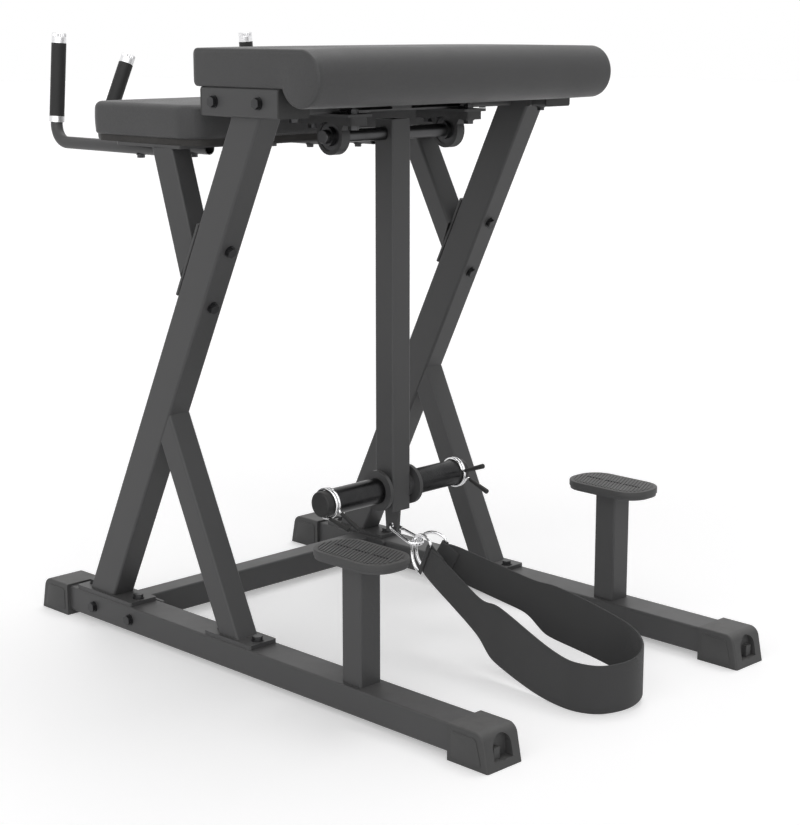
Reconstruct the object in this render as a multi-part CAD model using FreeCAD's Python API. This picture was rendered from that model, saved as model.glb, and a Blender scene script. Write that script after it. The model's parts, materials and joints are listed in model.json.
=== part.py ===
import FreeCAD, Part
import math
import os

# Reverse hyperextension machine. Millimetres, +X towards the foot plates, +Y to the left, +Z up.
# The origin is on the floor, under the middle of the machine's overall length and width.

V = FreeCAD.Vector

# Base frame
BASE_LENGTH = 1240.0
TRACK = 685.0
HANDLE_OVERHANG = 83.0
RAIL_WIDTH = 70.0
RAIL_HEIGHT = 50.0
TUBE_WALL = 3.0
TUBE_CORNER = 5.0
SQUARE_TUBE = 50.0
CROSS_TUBE_AFT = 391.0
CROSS_FLANGE_LENGTH = 150.0
CROSS_BOLT_SPACING = 117.5
FLANGE_THICKNESS = 6.0

# Rubber feet
FOOT_LENGTH = 90.0
FOOT_SIDE = 7.0
FOOT_TOP = 4.0
FOOT_SOLE = 10.0
FOOT_END_WALL = 24.0
FOOT_SLANT = 13.0
FOOT_ROUND = 16.0
FOOT_EDGE = 4.0
FOOT_RECESS_WIDTH = 44.0
FOOT_RECESS_DEPTH = 20.0
FOOT_RECESS_FLOOR = 14.0
FOOT_RECESS_TOP = 7.0
FOOT_BOSS_WIDTH = 14.0
FOOT_BOSS_SIDE = 9.0
FOOT_BOSS_SETBACK = 1.0

# Leaning uprights and their front struts
UPRIGHT_LEAN = 26.1
UPRIGHT_FOOT_AFT = 434.0
UPRIGHT_PLATE_AFT = 419.5
UPRIGHT_PLATE_LENGTH = 177.0
STRUT_LEAN = 25.3
STRUT_FOOT_AFT = 44.0
STRUT_PLATE_AFT = 38.5
STRUT_PLATE_LENGTH = 132.0
BASE_PLATE_THICKNESS = 8.0
BASE_PLATE_INSET = 3.5
BASE_BOLT_INSET = 17.0

# Top of the frame
FRAME_TOP = 1067.0
SIDE_TUBE_LENGTH = 205.6
SIDE_TUBE_FORWARD = 25.8
HEADER_FLANGE_LENGTH = 150.0
HEADER_BOLT_SPACING = 117.5
HEADER_WEB = 50.0
HEADER_WINDOW = 132.0
HEADER_WINDOW_LIP = 4.0

# Pivot bearings, hung under the header
HINGE_FORWARD = 18.0
BEARING_SPREAD = 300.0
BEARING_DROP = 36.5
BEARING_BASE_LENGTH = 140.0
BEARING_BASE_WIDTH = 38.0
BEARING_BASE_HEIGHT = 15.0
BEARING_BOLT_SPACING = 105.0
BEARING_EYE_RADIUS = 33.5
BEARING_EYE_WIDTH = 20.0
BEARING_NECK_ANGLE = 20.0
BEARING_RADIUS = 26.0
BEARING_RING_WIDTH = 17.0
BEARING_INNER_WIDTH = 34.0
BEARING_INNER_RADIUS = 17.2
BEARING_SHOULDER_RADIUS = 21.8
BALL_PITCH_RADIUS = 19.5
BALL_RADIUS = 3.9
BALL_COUNT = 9
CAGE_WIDTH = 10.5
CAGE_THICKNESS = 1.4
SEAL_THICKNESS = 1.2
SEAT_PLATE_THICKNESS = 5.0
SEAT_PLATE_LENGTH = 145.0
SEAT_PLATE_WIDTH = 60.0
SHAFT_RADIUS = 12.5
SHAFT_LENGTH = 354.0
SHAFT_CHAMFER = 1.0
RUNNING_FIT = 0.05
BALL_PLAY = 0.10
MOVING_GAP = 0.35

# Swing arm, hanger plate and weight sleeves
ARM_WIDTH = 48.0
ARM_CORNER = 4.0
ARM_RISE = 26.0
ARM_DROP = 720.0
ARM_END_PLATE = 4.0
SLEEVE_DROP = 678.0
SLEEVE_SPAN = 384.0
SLEEVE_RADIUS = 25.0
SLEEVE_WALL = 3.5
SLEEVE_CAP_HEAD = 29.0
SLEEVE_CAP_STEP = 0.6
SLEEVE_CAP_ROUND = 3.0
SLEEVE_CAP_PLUG = 18.0
SLEEVE_NECK_RADIUS = 23.0
SLEEVE_FLANGE_RADIUS = 39.0
SLEEVE_FLANGE_THICKNESS = 8.0
SLEEVE_FLANGE_STANDOFF = 12.0
HANGER_THICKNESS = 8.0
HANGER_TOP_WIDTH = 36.0
HANGER_BOTTOM_WIDTH = 28.0
HANGER_LENGTH = 48.0
HANGER_EYE_RADIUS = 6.5
HANGER_EYE_MARGIN = 7.0

# Spring collars on the sleeves
COLLAR_FROM_END = 19.0
COLLAR_WIRE = 5.0
COLLAR_PITCH = 6.4
COLLAR_BEND = 6.0
COLLAR_PRONG = 51.0
COLLAR_GRIP = 48.0
COLLAR_GRIP_ROOT = 3.6
COLLAR_GRIP_TIP = 5.0
COLLAR_GRIP_END = 4.0
COLLAR_GRIP_ROUND = 2.0
# Where each wire leaves the coil and where it then points, in degrees round the sleeve: upper end, lower end
LEFT_COLLAR = ((25.0, 20.0), (-25.0, -20.0))
RIGHT_COLLAR = ((-15.0, -25.0), (-72.0, -12.0))

# Carabiner, rings and ankle strap
CARABINER_WIRE = 7.0
CARABINER_SMALL_RADIUS = 10.0
CARABINER_LARGE_RADIUS = 16.0
CARABINER_CENTRES = 50.0
CARABINER_SLOPE = 16.0
HOOK_PLAY = 1.4
GATE_STUB = 6.0
GATE_NOSE_STUB = 9.0
GATE_RADIUS = 3.0
GATE_PIN_RADIUS = 1.1
GATE_PIN_HEADS = 2.0
PIN_PLAY = 0.15
TANG_THICKNESS = 2.4
RING_WIRE = 6.0
RING_BAR = 80.0
RING_NECK = 10.0
RING_CORNER = 6.0
RING_SIDE = 7.0
RING_SPLAY = 13.0
RING_PITCH = 28.0
RING_PLAY = 1.0
STRAP_THICKNESS = 3.5
STRAP_WIDTH = 68.0
FOLD_PLAY = 0.2
CUFF_RADIUS = 80.0
CUFF_CENTRE_REACH = 507.0
CUFF_CENTRE_SIDE = 8.0

# Chest pad, its plate and its struts
CHEST_REAR_AFT = 445.0
CHEST_DEPTH = 312.0
CHEST_WIDTH = 700.0
CHEST_PLATE_TOP = 958.0
CHEST_PLATE_THICKNESS = 6.0
CHEST_PLATE_REAR_INSET = 15.0
CHEST_PLATE_DEPTH = 250.0
CHEST_PLATE_WIDTH = 690.0
CHEST_PLATE_CHAMFER_X = 65.0
CHEST_PLATE_CHAMFER_Y = 45.0
CHEST_BOARD = 12.0
CHEST_BOARD_INSET = 7.0
CHEST_BOLT_SPREAD = 178.0
CHEST_BOLT_INSET = 38.0
CHEST_CUSHION = 61.0
# Inset of the cushion's outline, with the height above its board or the depth below its top
CHEST_LOWER_LEVELS = ((5.0, 0.0), (1.5, 4.0), (0.0, 12.0))
CHEST_UPPER_LEVELS = ((0.0, 14.0), (2.0, 6.0), (6.5, 1.5), (14.0, 0.0))
CHEST_FRONT_CORNER = 51.0
CHEST_REAR_CORNER = 24.0
CHEST_CROWN = 3.0
UPPER_STRUT_TOP_AFT = 234.0
UPPER_STRUT_TOP_INBOARD = 20.5
UPPER_STRUT_RAKE = 0.437
UPPER_STRUT_TOE_IN = 0.090
UPPER_PLATE_HEIGHT = 756.0
UPPER_PLATE_LENGTH = 149.0
UPPER_PLATE_BOLTS = 118.0
UPPER_PLATE_CORNER = 2.0

# Main pad
PAD_REAR_AFT = 96.0
PAD_OVERHANG = 0.5
PAD_THICKNESS = 66.0
PAD_ROLL_RADIUS = 48.5
PAD_ROLL_FORWARD = 182.0
PAD_EDGE = 8.0
PAD_CROWN = 2.5
# Distance from the cushion's end and inset of its outline there
PAD_ENDS = ((0.0, 7.0), (2.0, 3.0), (8.0, 0.0))
PAD_BOARD = 15.0
PAD_BOARD_INSET = 10.0
PAD_BOLT_INSET = 26.0
PAD_BOLT_INBOARD = 14.0

# Handles
HANDLE_TUBE_RADIUS = 12.0
HANDLE_WALL = 2.0
HANDLE_FLAT = 1.0
OUTER_HANDLE_SPREAD = 522.0
OUTER_HANDLE_BEND = 39.0
OUTER_HANDLE_LEAN = 4.5
OUTER_GRIP_LENGTH = 145.0
INNER_HANDLE_SPREAD = 356.0
INNER_HANDLE_AFT = 651.0
INNER_HANDLE_BEND = 30.0
INNER_HANDLE_LEAN = 24.5
INNER_GRIP_LENGTH = 126.0
HANDLE_FRONT_AFT = 300.0
HANDLE_BOLT_AFT = 348.0
HANDLE_BOLT_SPACING = 58.0
GRIP_RADIUS = 15.0
GRIP_RING = 12.0
GRIP_RING_RADIUS = 15.5
GRIP_CAP = 20.0
GRIP_CAP_RADIUS = 14.5
GRIP_CAP_ROUND = 2.0

# Foot plates in front
STEP_POST = 48.0
STEP_FORWARD = 286.0
STEP_HEIGHT = 295.0
STEP_LENGTH = 182.0
STEP_WIDTH = 106.0
STEP_CORNER = 46.0
STEP_PLATE = 5.0
STEP_PLATE_INSET = 2.0
STEP_PAD = 13.0
STEP_PAD_ROUND = 2.5
STEP_BOLT_SPACING = 110.0
STEP_SLIT_LENGTH = 34.0
STEP_SLIT_WIDTH = 5.0
STEP_SLIT_DEPTH = 3.0

# Fasteners: shank radius, head across flats, head height
HEAVY_BOLT = (5.0, 17.0, 6.5)
LIGHT_BOLT = (4.0, 13.0, 5.5)
BOLT_CLEARANCE = 0.5
WASHER_THICKNESS = 2.0
WASHER_MARGIN = 1.5
NUT_HEIGHT = 8.0
THREAD_END = 2.0
SCREW_MARGIN = 3.0
DRILL_MARGIN = 1.0
HEAD_CHAMFER = 0.3
HEAD_TURN = (0.3, 0.7, 0.2)
PLUG_HEAD = 4.0
PLUG_DEPTH = 14.0

# Places that follow from the sizes above
BASE_X = HANDLE_OVERHANG / 2
RAIL_Y = TRACK / 2
RAIL_BOTTOM = FOOT_SOLE
RAIL_TOP = FOOT_SOLE + RAIL_HEIGHT
RAIL_INNER = RAIL_Y - RAIL_WIDTH / 2
RAIL_OUTER = RAIL_Y + RAIL_WIDTH / 2
PAD_WIDTH = 2 * (RAIL_OUTER + PAD_OVERHANG)
PLATE_TOP = RAIL_TOP + BASE_PLATE_THICKNESS
SIDE_TUBE_BOTTOM = FRAME_TOP - RAIL_HEIGHT
HINGE_X = BASE_X + HINGE_FORWARD
SEAT_BOTTOM = SIDE_TUBE_BOTTOM - SEAT_PLATE_THICKNESS
HINGE_Z = SEAT_BOTTOM - BEARING_DROP
BEARING_Y = BEARING_SPREAD / 2
ARM_TOP = HINGE_Z + ARM_RISE
ARM_BOTTOM = HINGE_Z - ARM_DROP
SLEEVE_Z = HINGE_Z - SLEEVE_DROP
EYE_Z = ARM_BOTTOM - HANGER_LENGTH + HANGER_EYE_MARGIN + HANGER_EYE_RADIUS
HOOK_Z = EYE_Z - (HANGER_EYE_RADIUS - CARABINER_WIRE / 2 - HOOK_PLAY)
CHEST_PLATE_BOTTOM = CHEST_PLATE_TOP - CHEST_PLATE_THICKNESS
CHEST_REAR = BASE_X - CHEST_REAR_AFT
HANDLE_Z = CHEST_PLATE_BOTTOM - HANDLE_TUBE_RADIUS
GRIP_REAR = BASE_X - BASE_LENGTH / 2 - HANDLE_OVERHANG
OUTER_HANDLE_X = GRIP_REAR + GRIP_RING_RADIUS
LEAN_SIN = math.sin(math.radians(UPRIGHT_LEAN))
LEAN_COS = math.cos(math.radians(UPRIGHT_LEAN))
UPRIGHT_AXIS = V(LEAN_SIN, 0, LEAN_COS)
UPRIGHT_FORE = V(LEAN_COS, 0, -LEAN_SIN)
UPRIGHT_FOOT = V(BASE_X - UPRIGHT_FOOT_AFT, RAIL_Y, PLATE_TOP)
STEP_X = BASE_X + STEP_FORWARD
REACH = 2 * BASE_LENGTH

X_AXIS = V(1, 0, 0)
Y_AXIS = V(0, 1, 0)
Z_AXIS = V(0, 0, 1)
PARTS = {}


def block(low, high):
    """A box between two corners."""
    return Part.makeBox(high[0] - low[0], high[1] - low[1], high[2] - low[2], V(*low))


def rod(start, end, radius):
    """A round bar between two points."""
    return Part.makeCylinder(radius, (end - start).Length, start, end - start)


def pipe(start, end, radius, bore):
    """A round tube between two points."""
    return rod(start, end, radius).cut(rod(start, end, bore))


def rounded_outline(width, depth, radius, height=0.0):
    """A rectangle with round corners, centred on the Z axis."""
    a = width / 2
    b = depth / 2
    c = radius * (1 - math.sqrt(0.5))
    edges = []
    for quarter in range(4):
        turn = FreeCAD.Rotation(Z_AXIS, 90 * quarter)
        u, v = (a, b) if quarter % 2 == 0 else (b, a)
        first = turn.multVec(V(u, v - radius, 0))
        middle = turn.multVec(V(u - c, v - c, 0))
        last = turn.multVec(V(u - radius, v, 0))
        after = turn.multVec(V(radius - u, v, 0))
        lift = V(0, 0, height)
        edges.append(Part.Arc(first + lift, middle + lift, last + lift).toShape())
        edges.append(Part.LineSegment(last + lift, after + lift).toShape())
    return Part.Wire(edges)


def rounded_block(width, depth, radius, height):
    """A slab with round corners, standing on the XY plane."""
    return Part.Face(rounded_outline(width, depth, radius)).extrude(V(0, 0, height))


def square_tube(width, depth, length, corner=TUBE_CORNER, wall=TUBE_WALL):
    """A rectangular steel tube along +Z, width along X and depth along Y."""
    outside = rounded_block(width, depth, corner, length)
    inside = rounded_block(width - 2 * wall, depth - 2 * wall, corner - wall, length)
    return outside.cut(inside)


def stand(shape, origin, along, side):
    """Sets a shape made along +Z at a place, with its X axis turned towards side."""
    z = V(along).normalize()
    y = z.cross(side).normalize()
    x = y.cross(z)
    rows = (x.x, y.x, z.x, origin.x, x.y, y.y, z.y, origin.y, x.z, y.z, z.z, origin.z)
    shape.Placement = FreeCAD.Placement(FreeCAD.Matrix(*rows, 0, 0, 0, 1))
    return shape


def prism(points, thickness, direction):
    """An outline of straight lines, extruded."""
    corners = [V(*point) for point in points]
    face = Part.Face(Part.makePolygon(corners + corners[:1]))
    return face.extrude(V(direction) * thickness)


def hexagon(across_flats, height):
    """A hexagonal head or nut along +Z, with its outer corners turned off."""
    radius = across_flats / math.sqrt(3)
    corners = []
    for k in range(7):
        angle = math.radians(60 * k)
        corners.append(V(radius * math.cos(angle), radius * math.sin(angle), 0))
    body = Part.Face(Part.makePolygon(corners)).extrude(V(0, 0, height))
    return body.common(Part.makeCone(radius + height, across_flats / 2 - HEAD_CHAMFER, height + radius))


def bolt(seat, direction, grip, size):
    """A hex bolt with its washer on seat and its nut beyond a stack as thick as grip."""
    radius, flats, head = size
    washer_radius = flats / math.sqrt(3) + WASHER_MARGIN
    washer = Part.makeCylinder(washer_radius, WASHER_THICKNESS, V(0, 0, -WASHER_THICKNESS))
    top = stand(hexagon(flats, head), V(0, 0, -WASHER_THICKNESS), V(0, 0, -1), X_AXIS)
    shank = Part.makeCylinder(radius, grip + NUT_HEIGHT + THREAD_END, V(0, 0, 0))
    nut = hexagon(flats, NUT_HEIGHT)
    nut.translate(V(0, 0, grip))
    return stand(washer.fuse([top, shank, nut]).removeSplitter(), seat, direction, V(*HEAD_TURN))


def drill(seat, direction, depth, size):
    """The hole that a bolt passes through."""
    along = V(direction).normalize()
    return rod(seat - along * DRILL_MARGIN, seat + along * (depth + DRILL_MARGIN), size[0] + BOLT_CLEARANCE)


def sweep(edges, radius):
    """A round wire or tube along tangent lines and arcs."""
    path = Part.Wire(edges)
    start = edges[0].valueAt(edges[0].FirstParameter)
    direction = edges[0].tangentAt(edges[0].FirstParameter)
    profile = Part.Wire([Part.makeCircle(radius, start, direction)])
    shell = Part.BRepOffsetAPI.MakePipeShell(path)
    shell.add(profile)
    shell.build()
    shell.makeSolid()
    return shell.shape()


def line(a, b):
    return Part.LineSegment(a, b).toShape()


def arc_through(start, corner, end):
    """The arc that leaves start and reaches end along the two legs of a corner."""
    middle = (start + end) * 0.5
    leg = (corner - start).Length
    half = (end - start).Length / 2
    cosine = half / leg
    sine = math.sqrt(1 - cosine * cosine)
    radius = leg * cosine / sine
    peak = corner + (middle - corner).normalize() * radius * (1 / cosine - 1)
    return Part.Arc(start, peak, end).toShape()


def mirrored(shape):
    return shape.mirror(V(0, 0, 0), Y_AXIS)


def keep(name, shape):
    PARTS[name] = shape


def keep_pair(name, left_shape):
    """Stores a left piece and its mirror image."""
    keep(name + "_left", left_shape)
    keep(name + "_right", mirrored(left_shape))


def keep_group(name, shapes):
    keep(name, Part.makeCompound(shapes))


def both_sides(shapes):
    return shapes + [mirrored(shape) for shape in shapes]


def tube_plug(width, depth, corner=TUBE_CORNER, wall=TUBE_WALL):
    """A plastic end plug along +Z, its head outside the tube and its skirt inside."""
    head = rounded_block(width, depth, corner, PLUG_HEAD)
    skirt = rounded_block(width - 2 * wall, depth - 2 * wall, corner - wall, PLUG_DEPTH)
    hollow = rounded_block(width - 4 * wall, depth - 4 * wall, corner - wall, PLUG_DEPTH)
    skirt = skirt.cut(hollow)
    skirt.translate(V(0, 0, -PLUG_DEPTH))
    return head.fuse(skirt)


# Bolt seats that more than one piece shares, on the left side

def base_bolt_seats():
    """On top of each base plate, fore and aft of the tube that it carries."""
    seats = []
    for aft, length in ((UPRIGHT_PLATE_AFT, UPRIGHT_PLATE_LENGTH), (STRUT_PLATE_AFT, STRUT_PLATE_LENGTH)):
        for side in (-1, 1):
            offset = side * (length / 2 - BASE_BOLT_INSET)
            seats.append(V(BASE_X - aft + offset, RAIL_Y, PLATE_TOP))
    return seats


def cross_bolt_seats():
    middle = V(BASE_X - CROSS_TUBE_AFT, RAIL_OUTER, RAIL_BOTTOM + RAIL_HEIGHT / 2)
    return [middle + X_AXIS * side * CROSS_BOLT_SPACING / 2 for side in (-1, 1)]


def header_bolt_seats():
    height = FRAME_TOP - RAIL_HEIGHT / 2
    return [V(HINGE_X + side * HEADER_BOLT_SPACING / 2, RAIL_OUTER, height) for side in (-1, 1)]


def upright_rear_point(height):
    """The middle of an upright's rear face at a height."""
    run = (height - PLATE_TOP) / LEAN_COS
    foot_rear = UPRIGHT_FOOT - V(RAIL_WIDTH / 2 / LEAN_COS, 0, 0)
    return foot_rear + UPRIGHT_AXIS * run


def upper_bolt_seats():
    """On the front face of the upright, opposite the upper strut's plate."""
    middle = upright_rear_point(UPPER_PLATE_HEIGHT) + UPRIGHT_FORE * RAIL_WIDTH
    return [middle + UPRIGHT_AXIS * side * UPPER_PLATE_BOLTS / 2 for side in (-1, 1)]


BASE_GRIP = BASE_PLATE_THICKNESS + TUBE_WALL
CROSS_GRIP = RAIL_WIDTH + FLANGE_THICKNESS
UPPER_GRIP = RAIL_WIDTH + FLANGE_THICKNESS


# Base frame

def base_rail():
    ends = BASE_LENGTH / 2 - FOOT_END_WALL
    tube = square_tube(RAIL_HEIGHT, RAIL_WIDTH, 2 * ends)
    tube = stand(tube, V(BASE_X - ends, RAIL_Y, RAIL_BOTTOM + RAIL_HEIGHT / 2), X_AXIS, Z_AXIS)
    for seat in base_bolt_seats():
        tube = tube.cut(drill(seat, V(0, 0, -1), BASE_GRIP, HEAVY_BOLT))
    for seat in cross_bolt_seats():
        tube = tube.cut(drill(seat, V(0, -1, 0), CROSS_GRIP, HEAVY_BOLT))
    return tube


def cross_tube():
    length = 2 * (RAIL_INNER - FLANGE_THICKNESS)
    middle = V(BASE_X - CROSS_TUBE_AFT, 0, RAIL_BOTTOM + RAIL_HEIGHT / 2)
    tube = stand(square_tube(SQUARE_TUBE, RAIL_HEIGHT, length), middle - V(0, length / 2, 0), Y_AXIS, X_AXIS)
    flange = rounded_block(CROSS_FLANGE_LENGTH, RAIL_HEIGHT, TUBE_CORNER, FLANGE_THICKNESS)
    flange = stand(flange, middle + V(0, length / 2, 0), Y_AXIS, X_AXIS)
    for seat in cross_bolt_seats():
        flange = flange.cut(drill(seat, V(0, -1, 0), CROSS_GRIP, HEAVY_BOLT))
    return tube.fuse([flange, mirrored(flange)]).removeSplitter()


def foot(outward):
    """A rubber shoe on a rail's end: outward is 1 in front and -1 behind."""
    height = FOOT_SOLE + RAIL_HEIGHT + FOOT_TOP
    width = RAIL_WIDTH + 2 * FOOT_SIDE
    lean = FOOT_SLANT * (height - FOOT_ROUND) / height
    shoulder = V(-lean, 0, height - FOOT_ROUND)
    slope = V(-FOOT_SLANT, 0, height).normalize()
    corner = shoulder + slope * (FOOT_ROUND / slope.z)
    leg = (corner - shoulder).Length
    crest = corner - V(leg, 0, 0)
    toe = V(0, 0, 0)
    heel = V(-FOOT_LENGTH, 0, 0)
    heel_top = V(-FOOT_LENGTH, 0, height)
    outline = [line(toe, shoulder), arc_through(shoulder, corner, crest), line(crest, heel_top)]
    outline += [line(heel_top, heel), line(heel, toe)]
    body = Part.Face(Part.Wire(outline)).extrude(V(0, width, 0))
    body.translate(V(0, -width / 2, 0))
    corners = []
    for edge in body.Edges:
        middle = edge.CenterOfMass
        if middle.x > -FOOT_ROUND / 2 and abs(middle.y) > 1 and edge.BoundBox.ZLength > 1:
            corners.append(edge)
    body = body.makeFillet(FOOT_EDGE, corners)
    pocket = block((-FOOT_LENGTH - 1, -RAIL_WIDTH / 2, FOOT_SOLE), (-FOOT_END_WALL, RAIL_WIDTH / 2, RAIL_TOP))
    half = FOOT_RECESS_WIDTH / 2
    spring = height - FOOT_RECESS_TOP - half
    arch = block((-FOOT_RECESS_DEPTH, -half, FOOT_RECESS_FLOOR), (1, half, spring))
    crown = rod(V(-FOOT_RECESS_DEPTH, 0, spring), V(1, 0, spring), half)
    boss_low = (-FOOT_RECESS_DEPTH - 1, FOOT_BOSS_SIDE - FOOT_BOSS_WIDTH / 2, FOOT_RECESS_FLOOR - 1)
    boss = block(boss_low, (-lean - FOOT_BOSS_SETBACK, FOOT_BOSS_SIDE + FOOT_BOSS_WIDTH / 2, spring))
    recess = arch.fuse(crown)
    shoe = body.cut(recess).fuse(boss.common(body)).cut(pocket).removeSplitter()
    if outward < 0:
        shoe.rotate(V(0, 0, 0), Z_AXIS, 180)
    shoe.translate(V(BASE_X + outward * BASE_LENGTH / 2, RAIL_Y, 0))
    return shoe


def make_base():
    keep_pair("base_rail", base_rail())
    keep("base_cross_tube", cross_tube())
    keep_pair("foot_front", foot(1))
    keep_pair("foot_rear", foot(-1))


# Uprights and struts

def base_plate(aft, length):
    width = RAIL_WIDTH - 2 * BASE_PLATE_INSET
    plate = rounded_block(length, width, BASE_PLATE_INSET, BASE_PLATE_THICKNESS)
    plate.translate(V(BASE_X - aft, RAIL_Y, RAIL_TOP))
    for seat in base_bolt_seats():
        plate = plate.cut(drill(seat, V(0, 0, -1), BASE_GRIP, HEAVY_BOLT))
    return plate


def upright():
    """A tube that leans forward from its base plate to the underside of the side tube."""
    reach = (SIDE_TUBE_BOTTOM - PLATE_TOP) / LEAN_COS
    start = UPRIGHT_FOOT - UPRIGHT_AXIS * RAIL_WIDTH
    tube = stand(square_tube(RAIL_WIDTH, SQUARE_TUBE, reach + 2 * RAIL_WIDTH), start, UPRIGHT_AXIS, X_AXIS)
    tube = tube.common(block((-REACH, 0, PLATE_TOP), (REACH, REACH, SIDE_TUBE_BOTTOM)))
    for seat in upper_bolt_seats():
        tube = tube.cut(drill(seat, -UPRIGHT_FORE, UPPER_GRIP, HEAVY_BOLT))
    return tube.fuse(base_plate(UPRIGHT_PLATE_AFT, UPRIGHT_PLATE_LENGTH))


def slab_along_upright(distance):
    """All in front of a plane along the upright, this far ahead of its centre line."""
    slab = block((0, -REACH, -REACH), (REACH, REACH, REACH))
    return stand(slab, UPRIGHT_FOOT + UPRIGHT_FORE * distance, UPRIGHT_AXIS, X_AXIS)


def front_strut():
    """A tube that leans back from its base plate to the front face of the upright."""
    axis = V(-math.sin(math.radians(STRUT_LEAN)), 0, math.cos(math.radians(STRUT_LEAN)))
    foot_point = V(BASE_X - STRUT_FOOT_AFT, RAIL_Y, PLATE_TOP)
    start = foot_point - axis * SQUARE_TUBE
    tube = stand(square_tube(SQUARE_TUBE, SQUARE_TUBE, SIDE_TUBE_BOTTOM), start, axis, X_AXIS)
    tube = tube.common(slab_along_upright(RAIL_WIDTH / 2))
    tube = tube.common(block((-REACH, 0, PLATE_TOP), (REACH, REACH, SIDE_TUBE_BOTTOM)))
    return tube.fuse(base_plate(STRUT_PLATE_AFT, STRUT_PLATE_LENGTH))


def upper_strut():
    """A tube from a plate on the upright's rear face up to the chest plate, toed in towards the middle."""
    top = V(BASE_X - UPPER_STRUT_TOP_AFT, RAIL_Y - UPPER_STRUT_TOP_INBOARD, CHEST_PLATE_BOTTOM)
    axis = V(-UPPER_STRUT_RAKE, -UPPER_STRUT_TOE_IN, 1).normalize()
    below = CHEST_PLATE_BOTTOM - UPPER_PLATE_HEIGHT + UPPER_PLATE_LENGTH
    tube = square_tube(SQUARE_TUBE, SQUARE_TUBE, below + SQUARE_TUBE)
    tube = stand(tube, top - axis * below, axis, V(1, -UPPER_STRUT_TOE_IN, 0))
    tube = tube.cut(slab_along_upright(-RAIL_WIDTH / 2 - FLANGE_THICKNESS))
    tube = tube.common(block((-REACH, 0, 0), (REACH, REACH, CHEST_PLATE_BOTTOM)))
    plate = rounded_block(FLANGE_THICKNESS, SQUARE_TUBE, UPPER_PLATE_CORNER, UPPER_PLATE_LENGTH)
    middle = upright_rear_point(UPPER_PLATE_HEIGHT) - UPRIGHT_FORE * FLANGE_THICKNESS / 2
    plate = stand(plate, middle - UPRIGHT_AXIS * UPPER_PLATE_LENGTH / 2, UPRIGHT_AXIS, X_AXIS)
    for seat in upper_bolt_seats():
        plate = plate.cut(drill(seat, -UPRIGHT_FORE, UPPER_GRIP, HEAVY_BOLT))
    return tube.fuse(plate)


def make_uprights():
    keep_pair("upright", upright())
    keep_pair("front_strut", front_strut())
    keep_pair("upper_strut", upper_strut())


# Top of the frame and the pivot bearings

def side_tube_rear():
    return BASE_X + SIDE_TUBE_FORWARD - SIDE_TUBE_LENGTH / 2


def side_tube():
    """A short tube along X on top of the upright, under the main pad."""
    length = SIDE_TUBE_LENGTH - 2 * PLUG_HEAD
    start = V(side_tube_rear() + PLUG_HEAD, RAIL_Y, FRAME_TOP - RAIL_HEIGHT / 2)
    tube = stand(square_tube(RAIL_HEIGHT, RAIL_WIDTH, length), start, X_AXIS, Z_AXIS)
    for seat in header_bolt_seats():
        tube = tube.cut(drill(seat, V(0, -1, 0), CROSS_GRIP, HEAVY_BOLT))
    for seat in pad_bolt_seats():
        tube = tube.cut(drill(seat, Z_AXIS, RAIL_HEIGHT, LIGHT_BOLT))
    return tube


def header():
    """The cross tube under the main pad, open in front for a spanner, with a bolted flange at each end."""
    length = 2 * (RAIL_INNER - FLANGE_THICKNESS)
    middle = V(HINGE_X, 0, FRAME_TOP - RAIL_HEIGHT / 2)
    tube = stand(square_tube(SQUARE_TUBE, RAIL_HEIGHT, length), middle - V(0, length / 2, 0), Y_AXIS, X_AXIS)
    low = (HINGE_X + SQUARE_TUBE / 2 - TUBE_WALL - 1, HEADER_WEB / 2, SIDE_TUBE_BOTTOM + HEADER_WINDOW_LIP)
    high = (HINGE_X + SQUARE_TUBE / 2 + 1, HEADER_WEB / 2 + HEADER_WINDOW, FRAME_TOP - HEADER_WINDOW_LIP)
    window = block(low, high)
    flange = rounded_block(HEADER_FLANGE_LENGTH, RAIL_HEIGHT, TUBE_CORNER, FLANGE_THICKNESS)
    flange = stand(flange, middle + V(0, length / 2, 0), Y_AXIS, X_AXIS)
    for seat in header_bolt_seats():
        flange = flange.cut(drill(seat, V(0, -1, 0), CROSS_GRIP, HEAVY_BOLT))
    tube = tube.cut(window).cut(mirrored(window))
    return tube.fuse([flange, mirrored(flange)]).removeSplitter()


def bearing_bolt_seats():
    """Under the feet of the left bearing's housing."""
    height = SEAT_BOTTOM - BEARING_BASE_HEIGHT
    return [V(HINGE_X + side * BEARING_BOLT_SPACING / 2, BEARING_Y, height) for side in (-1, 1)]


BEARING_GRIP = BEARING_BASE_HEIGHT + SEAT_PLATE_THICKNESS


def bearing_plate():
    plate = rounded_block(SEAT_PLATE_LENGTH, SEAT_PLATE_WIDTH, TUBE_CORNER, SEAT_PLATE_THICKNESS)
    plate.translate(V(HINGE_X, BEARING_Y, SEAT_BOTTOM))
    for seat in bearing_bolt_seats():
        plate = plate.cut(drill(seat, Z_AXIS, BEARING_GRIP, HEAVY_BOLT))
    return plate


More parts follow.
